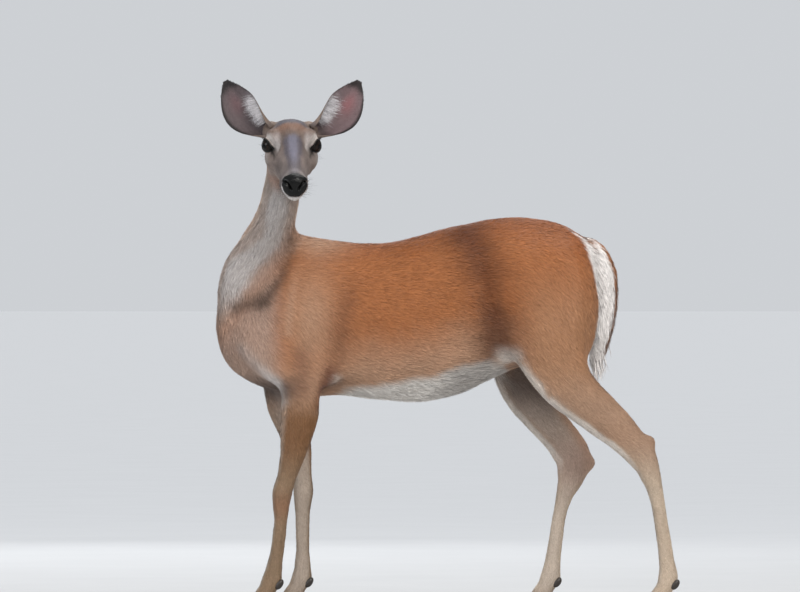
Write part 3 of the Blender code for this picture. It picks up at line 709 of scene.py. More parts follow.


# --- markings, painted shade and painted highlights

RUST = (0.31, 0.112, 0.038)
RUST_DARK = (0.18, 0.048, 0.012)
TAN = (0.345, 0.185, 0.1)
SAND = (0.42, 0.28, 0.19)
PALE = (0.56, 0.49, 0.42)
WHITE = (0.69, 0.66, 0.645)
BLACK = (0.004, 0.004, 0.004)
NECK_SHADE = (0.08, 0.048, 0.034)
# The line of the painted shade in the flank hollow.
FLANK_SHADE = [(0.045, 0.06, 0.83), (0.085, 0.105, 0.74), (0.105, 0.115, 0.64), (0.112, 0.105, 0.585)]
# The line of the painted shade behind the shoulder.
SHOULDER_SHADE = [(-0.205, 0.11, 0.73), (-0.222, 0.12, 0.64), (-0.235, 0.115, 0.56), (-0.25, 0.1, 0.5)]
# How far the white behind reaches to either side, by height.
WHITE_REACH = ((0.48, 0.56, 0.62, 0.7, 0.78, 0.84), (0.05, 0.066, 0.068, 0.058, 0.042, 0.014))


# Narrow lines painted on either side of the body: the line each follows, its width, colour and strength. The
# first two are painted shade in the fold of the bent neck and in the pit at its base, fainter on her right;
# the fifth and sixth are painted shade down the top of the foreleg and in the crease behind the elbow. The
# third is a pale line along the ridge in front of the shoulder, the fourth a pale line down the chest, the
# last a white tuft behind the elbow.
STREAKS = [
    # Painted shade in the fold of the bent neck.
    ([(-0.325, 0.07, 0.825), (-0.352, 0.085, 0.745), (-0.392, 0.085, 0.684)], 0.014, NECK_SHADE, 0.8),
    # Painted shade in the pit under the neck.
    ([(-0.445, 0.05, 0.68), (-0.395, 0.075, 0.69)], 0.017, NECK_SHADE, 0.75),
    ([(-0.322, 0.1, 0.76), (-0.335, 0.11, 0.69), (-0.34, 0.11, 0.62)], 0.009, (0.48, 0.33, 0.235), 0.45),
    ([(-0.43, 0.045, 0.59), (-0.395, 0.07, 0.548), (-0.365, 0.095, 0.513), (-0.35, 0.1, 0.47)],
     0.012, (0.56, 0.52, 0.5), 0.85),
    # Painted shade down the top of the foreleg.
    ([(-0.312, 0.1, 0.57), (-0.307, 0.1, 0.495)], 0.024, (0.12, 0.052, 0.03), 0.5),
    # Painted shade in the crease behind the elbow.
    ([(-0.25, 0.105, 0.535), (-0.262, 0.1, 0.495), (-0.27, 0.1, 0.46)], 0.014, (0.12, 0.04, 0.022), 0.75),
    ([(-0.235, 0.105, 0.52), (-0.243, 0.095, 0.497)], 0.01, (0.56, 0.52, 0.48), 0.5),
]


def body_colour(z, normals):
    """Colour of the coat on trunk, neck, legs and tail, with painted shade in folds, hollows and underneath,
    and a painted highlight on the withers.
    """
    p, flat = z.p, mirrored(z.p)
    x, y, level = p.T
    n = len(p)
    patchy = noise(p, 0.045, 1) * 0.6 + noise(p, 0.018, 2) * 0.4
    height = z.height + 0.04 * patchy
    # Painted shade runs down from the loin into the flank hollow, and more lies behind the shoulder.
    from_flank_shade = nearest_on(flat, FLANK_SHADE)[0] + 0.012 * patchy + 0.01 * noise(p, 0.09, 6)
    colour = paint(
        evenly(RUST, n),
        (RUST_DARK, 0.55 * ramp(0.78, 1.0, height)),
        ((0.43, 0.27, 0.178), 0.85 * fade(0.02, 0.45, height)),
        (SAND, 0.6 * blob(flat, (-0.29, 0.1, 0.645), (0.04, 0.1, 0.08))),
        # Painted highlight: sand-coloured light on top of the withers.
        (SAND, 0.65 * blob(flat, (-0.275, 0.05, 0.815), (0.045, 0.1, 0.022))),
        (TAN, 0.75 * (ramp(0.13, 0.22, x) * fade(0.62, 0.8, level))),
        # Painted shade over the flank hollow.
        ((0.07, 0.016, 0.003), 0.8 * bell(from_flank_shade, 0.048)),
        # Painted shade behind the shoulder.
        ((0.13, 0.048, 0.02), 0.55 * stripe(flat, SHOULDER_SHADE, 0.024)),
    )
    # The neck goes greyer towards the head, and pale down the throat.
    turn = np.radians(30) * fade(0.45, 0.8, z.neck_share)
    throat = z.throat * np.cos(turn) - z.neck_side * np.sin(turn) + 0.1 * patchy
    begun = ramp(0.1, 0.3, z.neck_share)
    neck = paint(
        evenly((0.34, 0.18, 0.1), n),
        ((0.43, 0.33, 0.265), ramp(0.05, 0.9, z.neck_share)),
        ((0.31, 0.215, 0.165), 0.8 * ramp(0.2, 0.75, throat) * (1 - begun)),
        ((0.34, 0.285, 0.255), 0.85 * ramp(0.2, 0.75, throat) * begun),
        ((0.42, 0.395, 0.385), 0.8 * ramp(0.82, 0.98, throat) * begun),
    )
    front = ramp(-0.335, -0.39, x) * (1 - z.neck) * ramp(0.42, 0.5, level)
    # Painted shade under the brisket, nearly black.
    brisket_shade = ramp(-0.29, -0.35, x) * ramp(0.54, 0.5, level) * (1 - z.leg)
    colour = paint(
        blend(colour, neck, z.neck),
        ((0.345, 0.245, 0.195), 0.85 * front),
        ((0.06, 0.04, 0.032), 0.85 * brisket_shade),
    )
    squash = np.array([1, 0.35, 1])
    # The painted shade in the neck's fold is strongest on her left side.
    fold_shade_side = 0.15 + 0.85 * ramp(0.03, -0.01, y)
    for i, (path, width, tint, share) in enumerate(STREAKS):
        streak = share * stripe(flat * squash, np.array(path) * squash, width)
        colour = mix(colour, tint, streak * (fold_shade_side if i < 2 else 1))
    # White below: the belly, the buttocks and inside the thighs; towards the hind legs the belly's white is
    # greyed as painted shade.
    under = fade(-0.014, 0.008, z.over_belly + 0.006 * patchy)
    under *= ramp(-0.31, -0.27, x) * (1 - z.leg) * (1 - z.neck)
    white = mix(evenly((0.7, 0.665, 0.625), n), (0.44, 0.41, 0.385), ramp(-0.06, 0.04, x))
    colour = blend(colour, white, under)
    back = ramp(-0.006, 0.008, z.past_rump + 0.004 * patchy)
    reach = np.interp(level, *WHITE_REACH)
    aside = np.abs(y) + 0.005 * patchy
    midline = np.abs(y) + 0.004 * patchy
    back *= ramp(0.5, 0.56, level) * (x > 0.2) * fade(reach + 0.01, reach + 0.03, aside)
    rear = ramp(0.02, 0.25, normals[:, 0]) * fade(reach - 0.004, reach + 0.01, aside)
    rear *= ramp(0.46, 0.5, level) * fade(0.84, 0.85, level) * (x > 0.2)
    back = np.maximum(back, rear)
    back *= 1 - ramp(0.1, 0.35, normals[:, 2]) * ramp(0.022, 0.012, midline)
    colour = mix(colour, WHITE, back)
    # Legs: brown outside, pale inside and along the front edge of the thigh, with painted shade high inside
    # the hind thighs.
    hind = z.hind
    inner = unit(z.leg_out)[:, 1] * -np.sign(y)
    ahead = z.leg_ahead + 0.05 * patchy
    low = fade(0.27, 0.4, level)
    leg = paint(
        # The forelegs' dark brown is partly their own colour and partly painted shade under the body.
        evenly((0.178, 0.086, 0.038), n),
        ((0.33, 0.205, 0.135), hind),
        ((0.235, 0.165, 0.105), 0.8 * low * (1 - hind)),
        ((0.49, 0.4, 0.31), 0.85 * low * hind),
        ((0.43, 0.37, 0.32), 0.6 * ramp(0.3, 0.8, inner + 0.12 * patchy)),
        (PALE, 0.3 * ramp(0.7, 0.95, ahead)),
        ((0.26, 0.125, 0.07), 0.6 * blob(p, (-0.345, -0.08, 0.245), (0.05, 0.05, 0.022))),
        ((0.42, 0.265, 0.205), 0.7 * blob(p, (0.3, 0.09, 0.335), (0.05, 0.05, 0.045))),
        ((0.18, 0.12, 0.085), 0.55 * fade(0.03, 0.075, level)),
    )
    colour = blend(colour, leg, z.leg * (1 - under))
    # High inside the hind thighs the coat is darkened as painted shade, darkest between the legs.
    inside = ramp(0.25, 0.7, inner + 0.1 * patchy) * hind * fade(0.66, 0.74, level)
    inside *= ramp(0.1, 0.16, x) * ramp(0.4, 0.5, level)
    shade = mix(evenly((0.25, 0.205, 0.18), n), (0.1, 0.078, 0.068), ramp(0.42, 0.53, level))
    high = 0.1 * ramp(0.42, 0.49, level)
    edge = ramp(0.78 + high, 0.91 + 0.9 * high, ahead) * hind
    edge = edge * ramp(0.3, 0.38, level) * fade(0.56, 0.6, level)
    colour = paint(
        blend(colour, shade, 0.85 * inside),
        ((0.64, 0.59, 0.54), 0.8 * edge * ramp(0.09, 0.13, x)),
        (WHITE, back * ramp(0.4, 0.5, level)),
    )
    brown = ramp(0.1, 0.55, normals[:, 0]) * ramp(0.022, 0.014, midline)
    brown *= ramp(0.575, 0.6, level)
    tail = paint(
        evenly(WHITE, n),
        ((0.25, 0.105, 0.045), brown),
        ((0.11, 0.055, 0.03), 0.7 * brown * ramp(0.74, 0.64, level)),
    )
    return blend(colour, tail, z.tail) * (1 + 0.08 * patchy)[:, None]


def head_colour(z):
    """Colour of the face: grey-brown, with pale rings round the eyes and white behind the nose."""
    local, mirror = z.local, mirrored(z.local)
    u, s, w = mirror.T
    patchy = noise(local, 0.012, 3)
    along = ramp(0.012, 0.035, u) * ramp(-0.02, 0.0, w + 0.3 * (u - 0.05))
    taper = 1 - 0.35 * ramp(0.05, 0.13, u)
    pad = pad_reach(local)
    lip = ramp(-0.016, -0.007, pad) * fade(-0.003, 0.0, pad)
    lip *= 0.1 + 0.8 * ramp(-0.021, -0.031, w)
    gap, far = lid_gap(local)
    ring = bell(gap - 0.0078, 0.0036) * (far < 0.04)
    colour = paint(
        evenly((0.19, 0.15, 0.134), len(local)),
        ((0.1, 0.071, 0.058), ramp(-0.006, 0.018, w) * fade(0.02, 0.1, u)),
        ((0.165, 0.082, 0.052), 0.85 * blob(mirror, (-0.012, 0.016, 0.04), (0.014, 0.022, 0.012))),
        ((0.058, 0.058, 0.075), 0.9 * ramp(-0.015, -0.031, u) * ramp(0.02, 0.035, w)),
        ((0.03, 0.024, 0.022), 0.85 * blob(mirror, (-0.034, 0.042, 0.044), (0.014, 0.009, 0.012))),
        ((0.066, 0.06, 0.078), 0.8 * (fade(0.014, 0.024, s / taper + 0.003 * patchy) * along)),
        # Painted sheen: a paler bluish line down the ridge of the nose.
        ((0.138, 0.134, 0.18), 0.7 * fade(0.003, 0.014, s / taper + 0.002 * patchy) * along),
        # Painted shade in the hollow under each cheekbone.
        ((0.08, 0.064, 0.06), 0.6 * blob(mirror, (0.075, 0.028, -0.022), (0.03, 0.01, 0.014))),
        ((0.235, 0.205, 0.19), 0.6 * fade(-0.07, -0.045, w)),
        ((0.205, 0.15, 0.12), 0.6 * blob(mirror, (0.01, 0.055, -0.055), (0.03, 0.02, 0.016))),
        ((0.24, 0.17, 0.125), 0.6 * ramp(-0.035, -0.085, u + 0.2 * w)),
        ((0.075, 0.062, 0.062), 0.7 * ramp(0.085, 0.135, u)),
        ((0.62, 0.59, 0.58), lip),
        ((0.6, 0.57, 0.55), 0.85 * (ramp(0.1, 0.125, u) * fade(-0.056, -0.048, w))),
        ((0.46, 0.42, 0.4), ring * (0.35 + 0.55 * ramp(-0.006, 0.01, w + 0.55 * u - 0.012))),
        ((0.42, 0.38, 0.37), 0.8 * blob(mirror, (0.018, 0.031, 0.014), (0.011, 0.0055, 0.011))),
    )
    colour *= (1 + 0.14 * patchy)[:, None]
    rim = 0.0024 - 0.0008 * ramp(0, -0.008, w) + 0.0036 * ramp(0.01, 0.022, u) * ramp(0.046, 0.04, s)
    return paint(
        colour,
        (BLACK, fade(rim, rim + 0.002, gap) * (far < 0.03)),
        (BLACK, 0.65 * carve(local, GLAND, 0.0036)),
        (BLACK, ramp(-0.0015, 0.0, pad)),
        (BLACK, 0.9 * carve(local, MOUTH, 0.002)),
    )


def ear_colour(facts, inside):
    """facts are the rows of ear_facts: side, share of the length and place across."""
    _, t, across, _ = facts.T
    left = facts[:, 0] > 0
    pink = np.exp(-(((t - 0.66) / 0.15) ** 2 + ((across - 0.12) / 0.3) ** 2))
    hollow = paint(
        # Her right ear's hollow is darker, and its pink fainter, as painted shade.
        np.where(left[:, None], (0.15, 0.104, 0.11), (0.098, 0.075, 0.078)),
        ((0.29, 0.11, 0.12), pink * (0.2 + 0.4 * left)),
        ((0.3, 0.265, 0.275), 0.55 * ramp(0.05, 0.75, -across) * fade(0.55, 0.8, t)),
        # Painted shade deep in the hollow at the ear's root.
        ((0.05, 0.038, 0.038), 0.75 * fade(0.08, 0.28, t)),
    )
    back = mix(evenly((0.19, 0.14, 0.112), len(facts)), (0.08, 0.062, 0.055), 0.6 * ramp(0.5, 1.0, t))
    rim = ramp(0.74, 0.88, across) * ramp(0.12, 0.3, t)
    rim = np.maximum(rim, 0.8 * ramp(0.84, 0.95, -across) * ramp(0.5, 0.7, t))
    rim = np.maximum(rim, ramp(0.84, 0.95, t + 0.06 * np.abs(across)))
    return mix(np.where(inside[:, None], hollow, back), (0.014, 0.012, 0.012), 0.94 * rim)


def coat_colour(points, z, normals):
    far, facts = ear_facts(points)
    on_ear = ramp(0.006, 0.002, far) * ramp(0.02, 0.12, facts[:, 1])
    colour = blend(body_colour(z, normals), head_colour(z), z.face)
    return blend(colour, ear_colour(facts, in_hollow(facts, normals)), on_ear)


# --- materials


class Nodes:
    """Short ways to add shader nodes to one material."""

    def __init__(self, name, **shader):
        self.material = bpy.data.materials.new(name)
        self.material.use_nodes = True
        self.tree = self.material.node_tree
        self.shader = self.tree.nodes["Principled BSDF"]
        for key, value in shader.items():
            socket = self.shader.inputs[key.replace("_", " ")]
            socket.default_value = (*value, 1) if isinstance(value, tuple) else value

    def add(self, kind, _inputs=(), **settings):
        node = self.tree.nodes.new(kind)
        for key, value in settings.items():
            setattr(node, key, value)
        for key, value in dict(_inputs).items():
            if isinstance(value, bpy.types.NodeSocket):
                self.tree.links.new(value, node.inputs[key])
            else:
                node.inputs[key].default_value = value
        return node

    def attribute(self, name, output="Color"):
        return self.add("ShaderNodeAttribute", attribute_name=name).outputs[output]

    def place(self):
        return self.add("ShaderNodeTexCoord").outputs["Object"]

    def noise(self, scale, detail=3.0, vector=None):
        inputs = {"Scale": scale, "Detail": detail, "Roughness": 0.55}
        inputs["Vector"] = self.place() if vector is None else vector
        return self.add("ShaderNodeTexNoise", inputs).outputs["Fac"]

    def math(self, operation, a, b=0.0, c=0.0):
        return self.add("ShaderNodeMath", {0: a, 1: b, 2: c}, operation=operation).outputs[0]

    def times(self, a, b):
        return self.math("MULTIPLY", a, b)

    def times_plus(self, a, b, c):
        return self.math("MULTIPLY_ADD", a, b, c)

    def remap(self, value, low, high, to_low, to_high):
        inputs = {"Value": value, "From Min": low, "From Max": high, "To Min": to_low, "To Max": to_high}
        return self.add("ShaderNodeMapRange", inputs).outputs[0]

    def colours(self, factor, *stops):
        """A colour ramp, from its stops in order of their places."""
        node = self.add("ShaderNodeValToRGB", {"Fac": factor})
        elements = node.color_ramp.elements
        for i, (place, colour) in enumerate(stops):
            if i < len(elements):
                elements[i].position = place
            else:
                elements.new(place)
            elements[i].color = (*colour, 1)
        return node.outputs["Color"]

    def shaded(self, colour, factor):
        """The colour times a grey factor."""
        node = self.add("ShaderNodeMix", data_type="RGBA", blend_type="MULTIPLY")
        node.inputs[0].default_value = 1.0
        for value, socket in zip((colour, factor), [s for s in node.inputs if s.type == "RGBA"]):
            self.tree.links.new(value, socket)
        return next(s for s in node.outputs if s.type == "RGBA")

    def link(self, output, name):
        self.tree.links.new(output, self.shader.inputs[name])

    def bump(self, height, distance, strength):
        node = self.add("ShaderNodeBump", {"Height": height, "Distance": distance, "Strength": strength})
        self.link(node.outputs[0], "Normal")


def skin_material():
    """Short hair lying flat, from the stored colour; smooth and wet where the skin is bare."""
    n = Nodes("skin", Roughness=0.62, Specular_IOR_Level=0.16, Sheen_Weight=0.03, Sheen_Roughness=0.5)
    hair = n.attribute("hair", "Vector")
    bare = n.attribute("bare", "Fac")
    strands = n.noise(260.0, 3.0, hair)
    fine = n.noise(900.0, 2.0, hair)
    n.link(n.shaded(n.attribute("coat"), n.remap(strands, 0.25, 0.75, 0.72, 1.22)), "Base Color")
    n.link(n.remap(bare, 0.0, 1.0, 0.62, 0.26), "Roughness")
    n.link(n.remap(bare, 0.0, 1.0, 0.03, 0.0), "Sheen Weight")
    pebbles = n.add("ShaderNodeTexVoronoi", {"Scale": 520.0, "Vector": n.place()}).outputs["Distance"]
    height = n.times(n.times_plus(fine, 0.4, strands), n.math("SUBTRACT", 1.0, bare))
    n.bump(n.math("ADD", height, n.times(pebbles, n.times(bare, 0.55))), 0.0009, 0.6)
    return n.material


# --- the skin


def store(mesh, name, kind, values):
    """Keeps one value per point as a named attribute."""
    attribute = mesh.attributes.get(name) or mesh.attributes.new(name, kind, "POINT")
    values = np.asarray(values, np.float32)
    if kind == "FLOAT_COLOR":
        values = np.concatenate([values, np.ones((len(values), 1), np.float32)], axis=1)
    field = {"FLOAT_COLOR": "color", "FLOAT_VECTOR": "vector", "FLOAT": "value"}[kind]
    attribute.data.foreach_set(field, values.ravel())


def set_points(target, points):
    target.data.vertices.foreach_set("co", np.asarray(points, np.float32).ravel())
    target.data.update()


def hair_space(z):
    """Points squeezed along the lie of the hair, so that noise in this space makes strands."""
    trunk = z.p * np.array([0.14, 1, 1])
    leg = z.p * np.array([1, 1, 0.14])
    neck = z.neck_out + z.neck_share[:, None] * np.array([0, 0, 0.09])
    head = z.local * np.array([0.18, 1, 1]) + 3.0
    body = blend(blend(trunk, leg, z.leg), neck, z.neck)
    return np.where(z.head[:, None] > 0.5, head, body)


def almond(side):
    """A closed cone from inside the eyeball, out through the opening between the lids."""
    axis, corner, up = (Vector((Vector(v) @ Matrix(HEAD)).to_tuple()) for v in eye_axes(side))
    mesh = bmesh.new()
    turns = np.linspace(0, 2 * math.pi, LID_SIDES, endpoint=False)
    rings = []
    for far in (0.006, 0.012, 0.0165, 0.018, 0.02, 0.024):
        ring = []
        for a, reach in zip(turns.tolist(), lid_reach(turns).tolist()):
            bend = reach / EYE_RADIUS
            way = axis * math.cos(bend) + (corner * math.cos(a) + up * math.sin(a)) * math.sin(bend)
            ring.append(mesh.verts.new(EYES[side] + way * far))
        rings.append(ring)
    skirt(mesh, rings)
    inner = rings[0][::-1]
    middle = sum((v.co for v in inner), Vector()) / LID_SIDES
    for ring, place in ((inner, middle), (rings[-1], EYES[side] + axis * 0.026)):
        tip = mesh.verts.new(place)
        for k in range(LID_SIDES):
            mesh.faces.new((ring[k], ring[(k + 1) % LID_SIDES], tip))
    bmesh.ops.recalc_face_normals(mesh, faces=mesh.faces[:])
    return object_from("almond", mesh)


def make_skin():
    """The joined flesh, smoothed, sculpted and let down below the coat's tips, with ears and eyelids."""
    flesh = joined_flesh()
    points, faces = arrays_of(flesh.data)
    z = zones(points)
    strength = 1 - 0.55 * z.head - 0.3 * z.leg * (1 - z.head)
    points = smooth(points, faces, strength, 34)
    p = points - OFFSET
    flat = mirrored(p)
    calm = (1 - z.leg) * (1 - z.head) * (1 - z.tail)
    points = smooth(points, faces, calm, 60, 0)
    joins = np.maximum(1.6 * blob(flat, (0.235, 0.085, 0.79), (0.075, 0.055, 0.045)),
                       1.4 * blob(flat, (-0.315, 0.105, 0.59), (0.035, 0.05, 0.045)))
    joins = np.maximum(joins, 1.2 * blob(flat, (0.06, 0.08, 0.8), (0.08, 0.06, 0.05)))
    points = smooth(points, faces, np.clip(joins, 0, 1) * calm, 100, 0)
    hocks = np.maximum(blob(p, (0.452, -0.085, 0.38), (0.026, 0.04, 0.03)),
                       blob(p, (0.322, 0.085, 0.328), (0.026, 0.04, 0.03)))
    points = smooth(points, faces, np.clip(1.3 * hocks, 0, 1), 22, 0)
    points = sculpt_body(points, normals_of(points, faces), zones(points))
    points = points - normals_of(points, faces) * coat_depth(points, z)[:, None]
    points = smooth(points, faces, 0.6 * strength, 4)
    set_points(flesh, points)
    for chosen in (lambda middles: zones(middles).head > 0.02, near_face, near_lids):
        refine(flesh, chosen)
    points, faces = arrays_of(flesh.data)
    head = zones(points).head
    points = smooth(points, faces, head, 5)
    points = sculpt_head(points, normals_of(points, faces), head)
    set_points(flesh, smooth(points, faces, 0.35 * head, 1))
    for side in (1, -1):
        combine(flesh, object_from("ear", ear_shell(side)), "UNION")
        combine(flesh, almond(side), "DIFFERENCE")
    thin(flesh)
    return flesh


SKIN_TRIANGLES = 192000


def thin(skin):
    """Fewer triangles where the skin is smooth, and least loss round eyes and nostrils."""
    points, faces = arrays_of(skin.data)
    z = zones(points)
    gap, far = lid_gap(z.local)
    fine = np.maximum((gap < 0.008) & (far < 0.035), carve(z.local, NOSTRIL, 0.006) > 0.2)
    weight = np.where(fine, 0, 20 - 10 * z.head).round().astype(int)
    group = skin.vertex_groups.new(name="thin")
    for level in np.unique(weight).tolist():
        group.add(np.flatnonzero(weight == level).tolist(), level / 20, "REPLACE")
    decimate = skin.modifiers.new("thin", "DECIMATE")
    decimate.ratio = SKIN_TRIANGLES / len(faces)
    decimate.vertex_group = "thin"
    decimate.vertex_group_factor = 1e-5
    baked(skin)
    skin.vertex_groups.clear()


def near_face(middles):
    z = zones(middles)
    gap, far = lid_gap(z.local)
    mouth = (carve(z.local, MOUTH, 0.007) > 0.3) | (z.local[:, 0] > 0.138)
    return mouth & (z.head > 0.5) | (gap < 0.013) & (far < 0.04)


def near_lids(middles):
    local = to_head(middles)
    gap, far = lid_gap(local)
    nostril = carve(local, NOSTRIL, 0.007) > 0.2
    return nostril | (np.abs(gap - 0.001) < 0.006) & (far < 0.03)


def dress_skin(skin):
    """Stores the markings, with their painted shade and highlights, on the skin, and gives it its material.
    """
    points, faces = arrays_of(skin.data)
    z = zones(points)
    store(skin.data, "coat", "FLOAT_COLOR", coat_colour(points, z, normals_of(points, faces)))
    store(skin.data, "hair", "FLOAT_VECTOR", hair_space(z))
    gap, far = lid_gap(z.local)
    bare = np.maximum(ramp(-0.001, 0.001, pad_reach(z.local)), fade(0.001, 0.0026, gap) * (far < 0.03))
    store(skin.data, "bare", "FLOAT", bare * z.head)
    skin.data.materials.clear()
    skin.data.materials.append(skin_material())
    shade_smooth(skin)
    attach(skin, "root")
    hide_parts(*FLESH)


def shade_smooth(made, chosen=lambda face: True):
    made.data.polygons.foreach_set("use_smooth", [chosen(face) for face in made.data.polygons])


# --- the coat


def lie_of(points, normals, z, ears):
    """The way the hair lies at each point, along the skin."""
    p, local = z.p, z.local
    x, y, _ = p.T
    u, s, _ = local.T
    flank = 1 - np.abs(normals[:, 2])
    way = evenly((1, 0, 0), len(p))
    way[:, 2] -= 0.22 * flank
    way[:, 2] -= 1.4 * ramp(0.12, 0.24, x) * flank
    way[:, 2] -= 0.9 * blob(p, (-0.29, 0, 0.62), (0.07, 1, 0.14)) * flank
    rump = ramp(-0.01, 0.01, z.past_rump) * (x > 0.2)
    way = paint(way, ((0.25, 0, -1.0), ramp(-0.345, -0.4, x)), ((0.18, 0, -1.0), rump))
    way[:, 0] += 1.6 * np.clip(normals[:, 2], 0, 1) * np.maximum(rump, z.tail)
    way[:, 1] += 0.55 * np.sign(y) * rump * flank
    way = blend(way, z.leg_way + np.array([0.25, 0, 0]), z.leg)
    way = blend(way, -z.neck_way, z.neck)
    side, aside = np.sign(s), np.abs(s)
    head = columns(-1.0, 0.3 * side * ramp(0.0, 0.02, aside),
                   -0.45 * ramp(0.015, 0.045, aside) * ramp(0.06, -0.04, u))
    gap, far = lid_gap(local)
    round_eye = fade(0.004, 0.016, gap) * (far < 0.05)
    head = head + (unit(local - columns(0, EYE_SPREAD * side, 0)) * 1.1 - head * 0.5) * round_eye[:, None]
    way = blend(way, head @ HEAD, z.head)
    far, facts = ears
    way = blend(way, ear_tips(facts), ramp(0.006, 0.003, far) * ramp(0.01, 0.06, facts[:, 1]))
    turn = 0.22 * noise(p, 0.05, 8) + 0.14 * noise(p, 0.017, 9)
    way = unit(way)
    way = way + np.cross(normals, way) * turn[:, None]
    return unit(beside(way, normals, 1 - hanging(z, normals)))


def hanging(z, normals):
    """How far the hair points out of the skin, as it does under the tail's end."""
    return z.tail * ramp(-0.1, -0.5, normals[:, 2])


def ear_tips(facts):
    """The way from root to tip along each ear, fanning out to the rims."""
    ways = np.zeros((len(facts), 3))
    for side in (-1, 1):
        here, across, _, tangent, _ = ear_rows(facts, side)
        place = facts[here, 2]
        fan = 0.55 * place * (1 - 0.85 * ramp(0.6, 0.9, np.abs(place)))
        ways[here] = tangent + across * fan[:, None]
    return ways


def cover_of(skin):
    """What each point of the skin needs for its coat: normal, lie, colour, and the size of its tufts."""
    points, faces = arrays_of(skin.data)
    normals = normals_of(points, faces)
    z = zones(points)
    x, _, level = z.p.T
    local = z.local
    ears = ear_facts(points)
    long, wide, lift = (np.full(len(points), size) for size in (0.015, 0.00125, 0.0026))

    def settle(share, *goals):
        for size, goal in zip((long, wide, lift), goals):
            size += (goal - size) * share

    long += 0.0035 * z.neck
    rump = ramp(-0.004, 0.01, z.past_rump) * (x > 0.2)
    belly = fade(-0.02, 0.01, z.over_belly)
    soft = np.maximum(rump, 0.7 * belly * (1 - z.leg)) * (1 - z.neck)
    upward = np.clip(normals[:, 2], 0, 1)
    long += 0.008 * soft
    lift += 0.0028 * soft
    settle(z.tail, 0.034, 0.0019, 0.0045)
    long *= 1 - 0.62 * upward * np.maximum(soft, z.tail) * (x > 0.2)
    lift *= 1 - 0.7 * upward * (x > 0.27)
    settle(z.leg, 0.011, 0.0012, 0.0016)
    settle(z.leg * fade(0.27, 0.42, level), 0.007, 0.00095, 0.0011)
    long += 0.0035 * ramp(0.052, 0.034, level)
    face = ramp(-0.03, 0.1, local[:, 0])
    settle(z.head, 0.0085 - 0.0045 * face, 0.0009 - 0.00025 * face, 0.0013 - 0.0006 * face)
    gap, far = lid_gap(local)
    settle(fade(0.004, 0.014, gap) * (far < 0.05) * z.head, 0.0028, 0.0005, 0.0004)
    _, t, across, _ = ears[1].T
    on_ear = ramp(0.006, 0.003, ears[0]) * ramp(0.01, 0.06, t)
    edge = np.maximum(ramp(0.75, 0.92, np.abs(across)), ramp(0.85, 0.95, t))
    settle(on_ear, 0.0062 - 0.0028 * edge, 0.0007, 0.0006 - 0.0003 * edge)
    root = ramp(0.014, 0.006, ears[0]) * ramp(0.16, 0.04, t)
    long *= 1 - 0.45 * root
    lift *= 1 - 0.6 * root
    bare = np.maximum(ramp(-0.0015, -0.0005, pad_reach(local)), carve(local, MOUTH, 0.0012) > 0.5) * z.head
    for naked in ((gap < 0.0026) * (far < 0.032) * z.head, (carve(local, NOSTRIL, 0.004) > 0.3) * z.head,
                  *(near < 0.0085 for near in dewclaw_distances(points)), level < 0.03):
        bare = np.maximum(bare, naked)
    return SimpleNamespace(
        points=points, faces=faces, normals=normals, z=z, ears=ears, on_ear=on_ear, long=long, wide=wide,
        lift=lift, bare=bare, lie=lie_of(points, normals, z, ears), colour=coat_colour(points, z, normals),
        hanging=hanging(z, normals),
    )


def weigh(cover, weight):
    """Each face's area times the mean weight of its corners."""
    a, b, c = (cover.points[cover.faces[:, k]] for k in range(3))
    area = np.linalg.norm(np.cross(b - a, c - a), axis=1) / 2
    return area * weight[cover.faces].mean(axis=1)


def scatter(cover, weight, count, rng):
    """count roots spread over the skin by weight: a reader of values there, and the nearest points."""
    total = np.cumsum(weigh(cover, weight))
    at = (np.arange(count) + rng.random(count)) / count * total[-1]
    corners = cover.faces[np.minimum(np.searchsorted(total, at), len(cover.faces) - 1)]
    r, s = np.sqrt(rng.random(count)), rng.random(count)
    share = columns(1 - r, r * (1 - s), r * s)

    def read(values):
        found = values[corners]
        return (found * (share[:, :, None] if found.ndim == 3 else share)).sum(axis=1)

    return read, corners[np.arange(count), share.argmax(axis=1)]


MOST_TUFTS = 64000  # three triangles each keep a piece under 200,000
EAR_HAIRS, LASHES, WHISKERS = 2200, 56, 110
SEED = 11


def tufts(name, roots, normals, lie, long, wide, lift, colour, chart, rng, tree):
    """Flat tapering tufts that follow the skin: two points at the root, two half way and one at the tip."""
    count = len(roots)
    ends = roots + lie * long[:, None]
    tips, tip_normals = ends.copy(), normals.copy()
    for i in range(count if tree else 0):
        found, normal, _, far = tree.find_nearest(ends[i])
        if far < 0.55 * long[i]:
            tips[i] = found
            tip_normals[i] = normal
    tip_normals = unit(tip_normals + 0.25 * normals)
    bow = dot(tip_normals - normals, lie) * long / 8
    middle = (roots + tips) / 2 + unit(normals + tip_normals) * (bow + lift * 0.72)[:, None]
    tips = tips + tip_normals * lift[:, None]
    tips = tips + rng.normal(0, 1, (count, 3)) * (long * 0.035)[:, None]
    across = np.cross(normals, lie)
    across = unit(across + normals * rng.normal(0, 0.22, count)[:, None])
    base = roots - normals * 0.0004
    half = (across * (wide / 2)[:, None])
    corners = columns(base - half, base + half, middle + half * 0.85, middle - half * 0.85, tips)
    shade = (1 + 0.11 * rng.normal(0, 1, count))[:, None] * colour
    # Each tuft is darker at the root, partly the hair's own darker base and partly painted shade down among
    # the hairs, and lighter at the tip.
    low, high = shade * 0.82, np.minimum(shade * 1.1, 0.92)
    tints = columns(low, low, shade, shade, high)
    order = np.argsort(roots[:, 0], kind="stable")
    parts = max(1, math.ceil(count / MOST_TUFTS))
    for k, part in enumerate(np.array_split(order, parts)):
        strips(f"{name}_{k + 1}", corners[part], tints[part], chart[part])


TRIANGLES = np.array([[0, 1, 2], [0, 2, 3], [3, 2, 4]])
PATCH = np.array([[0, 0], [1, 0], [0.93, 0.5], [0.07, 0.5], [0.5, 1]]) * 0.003


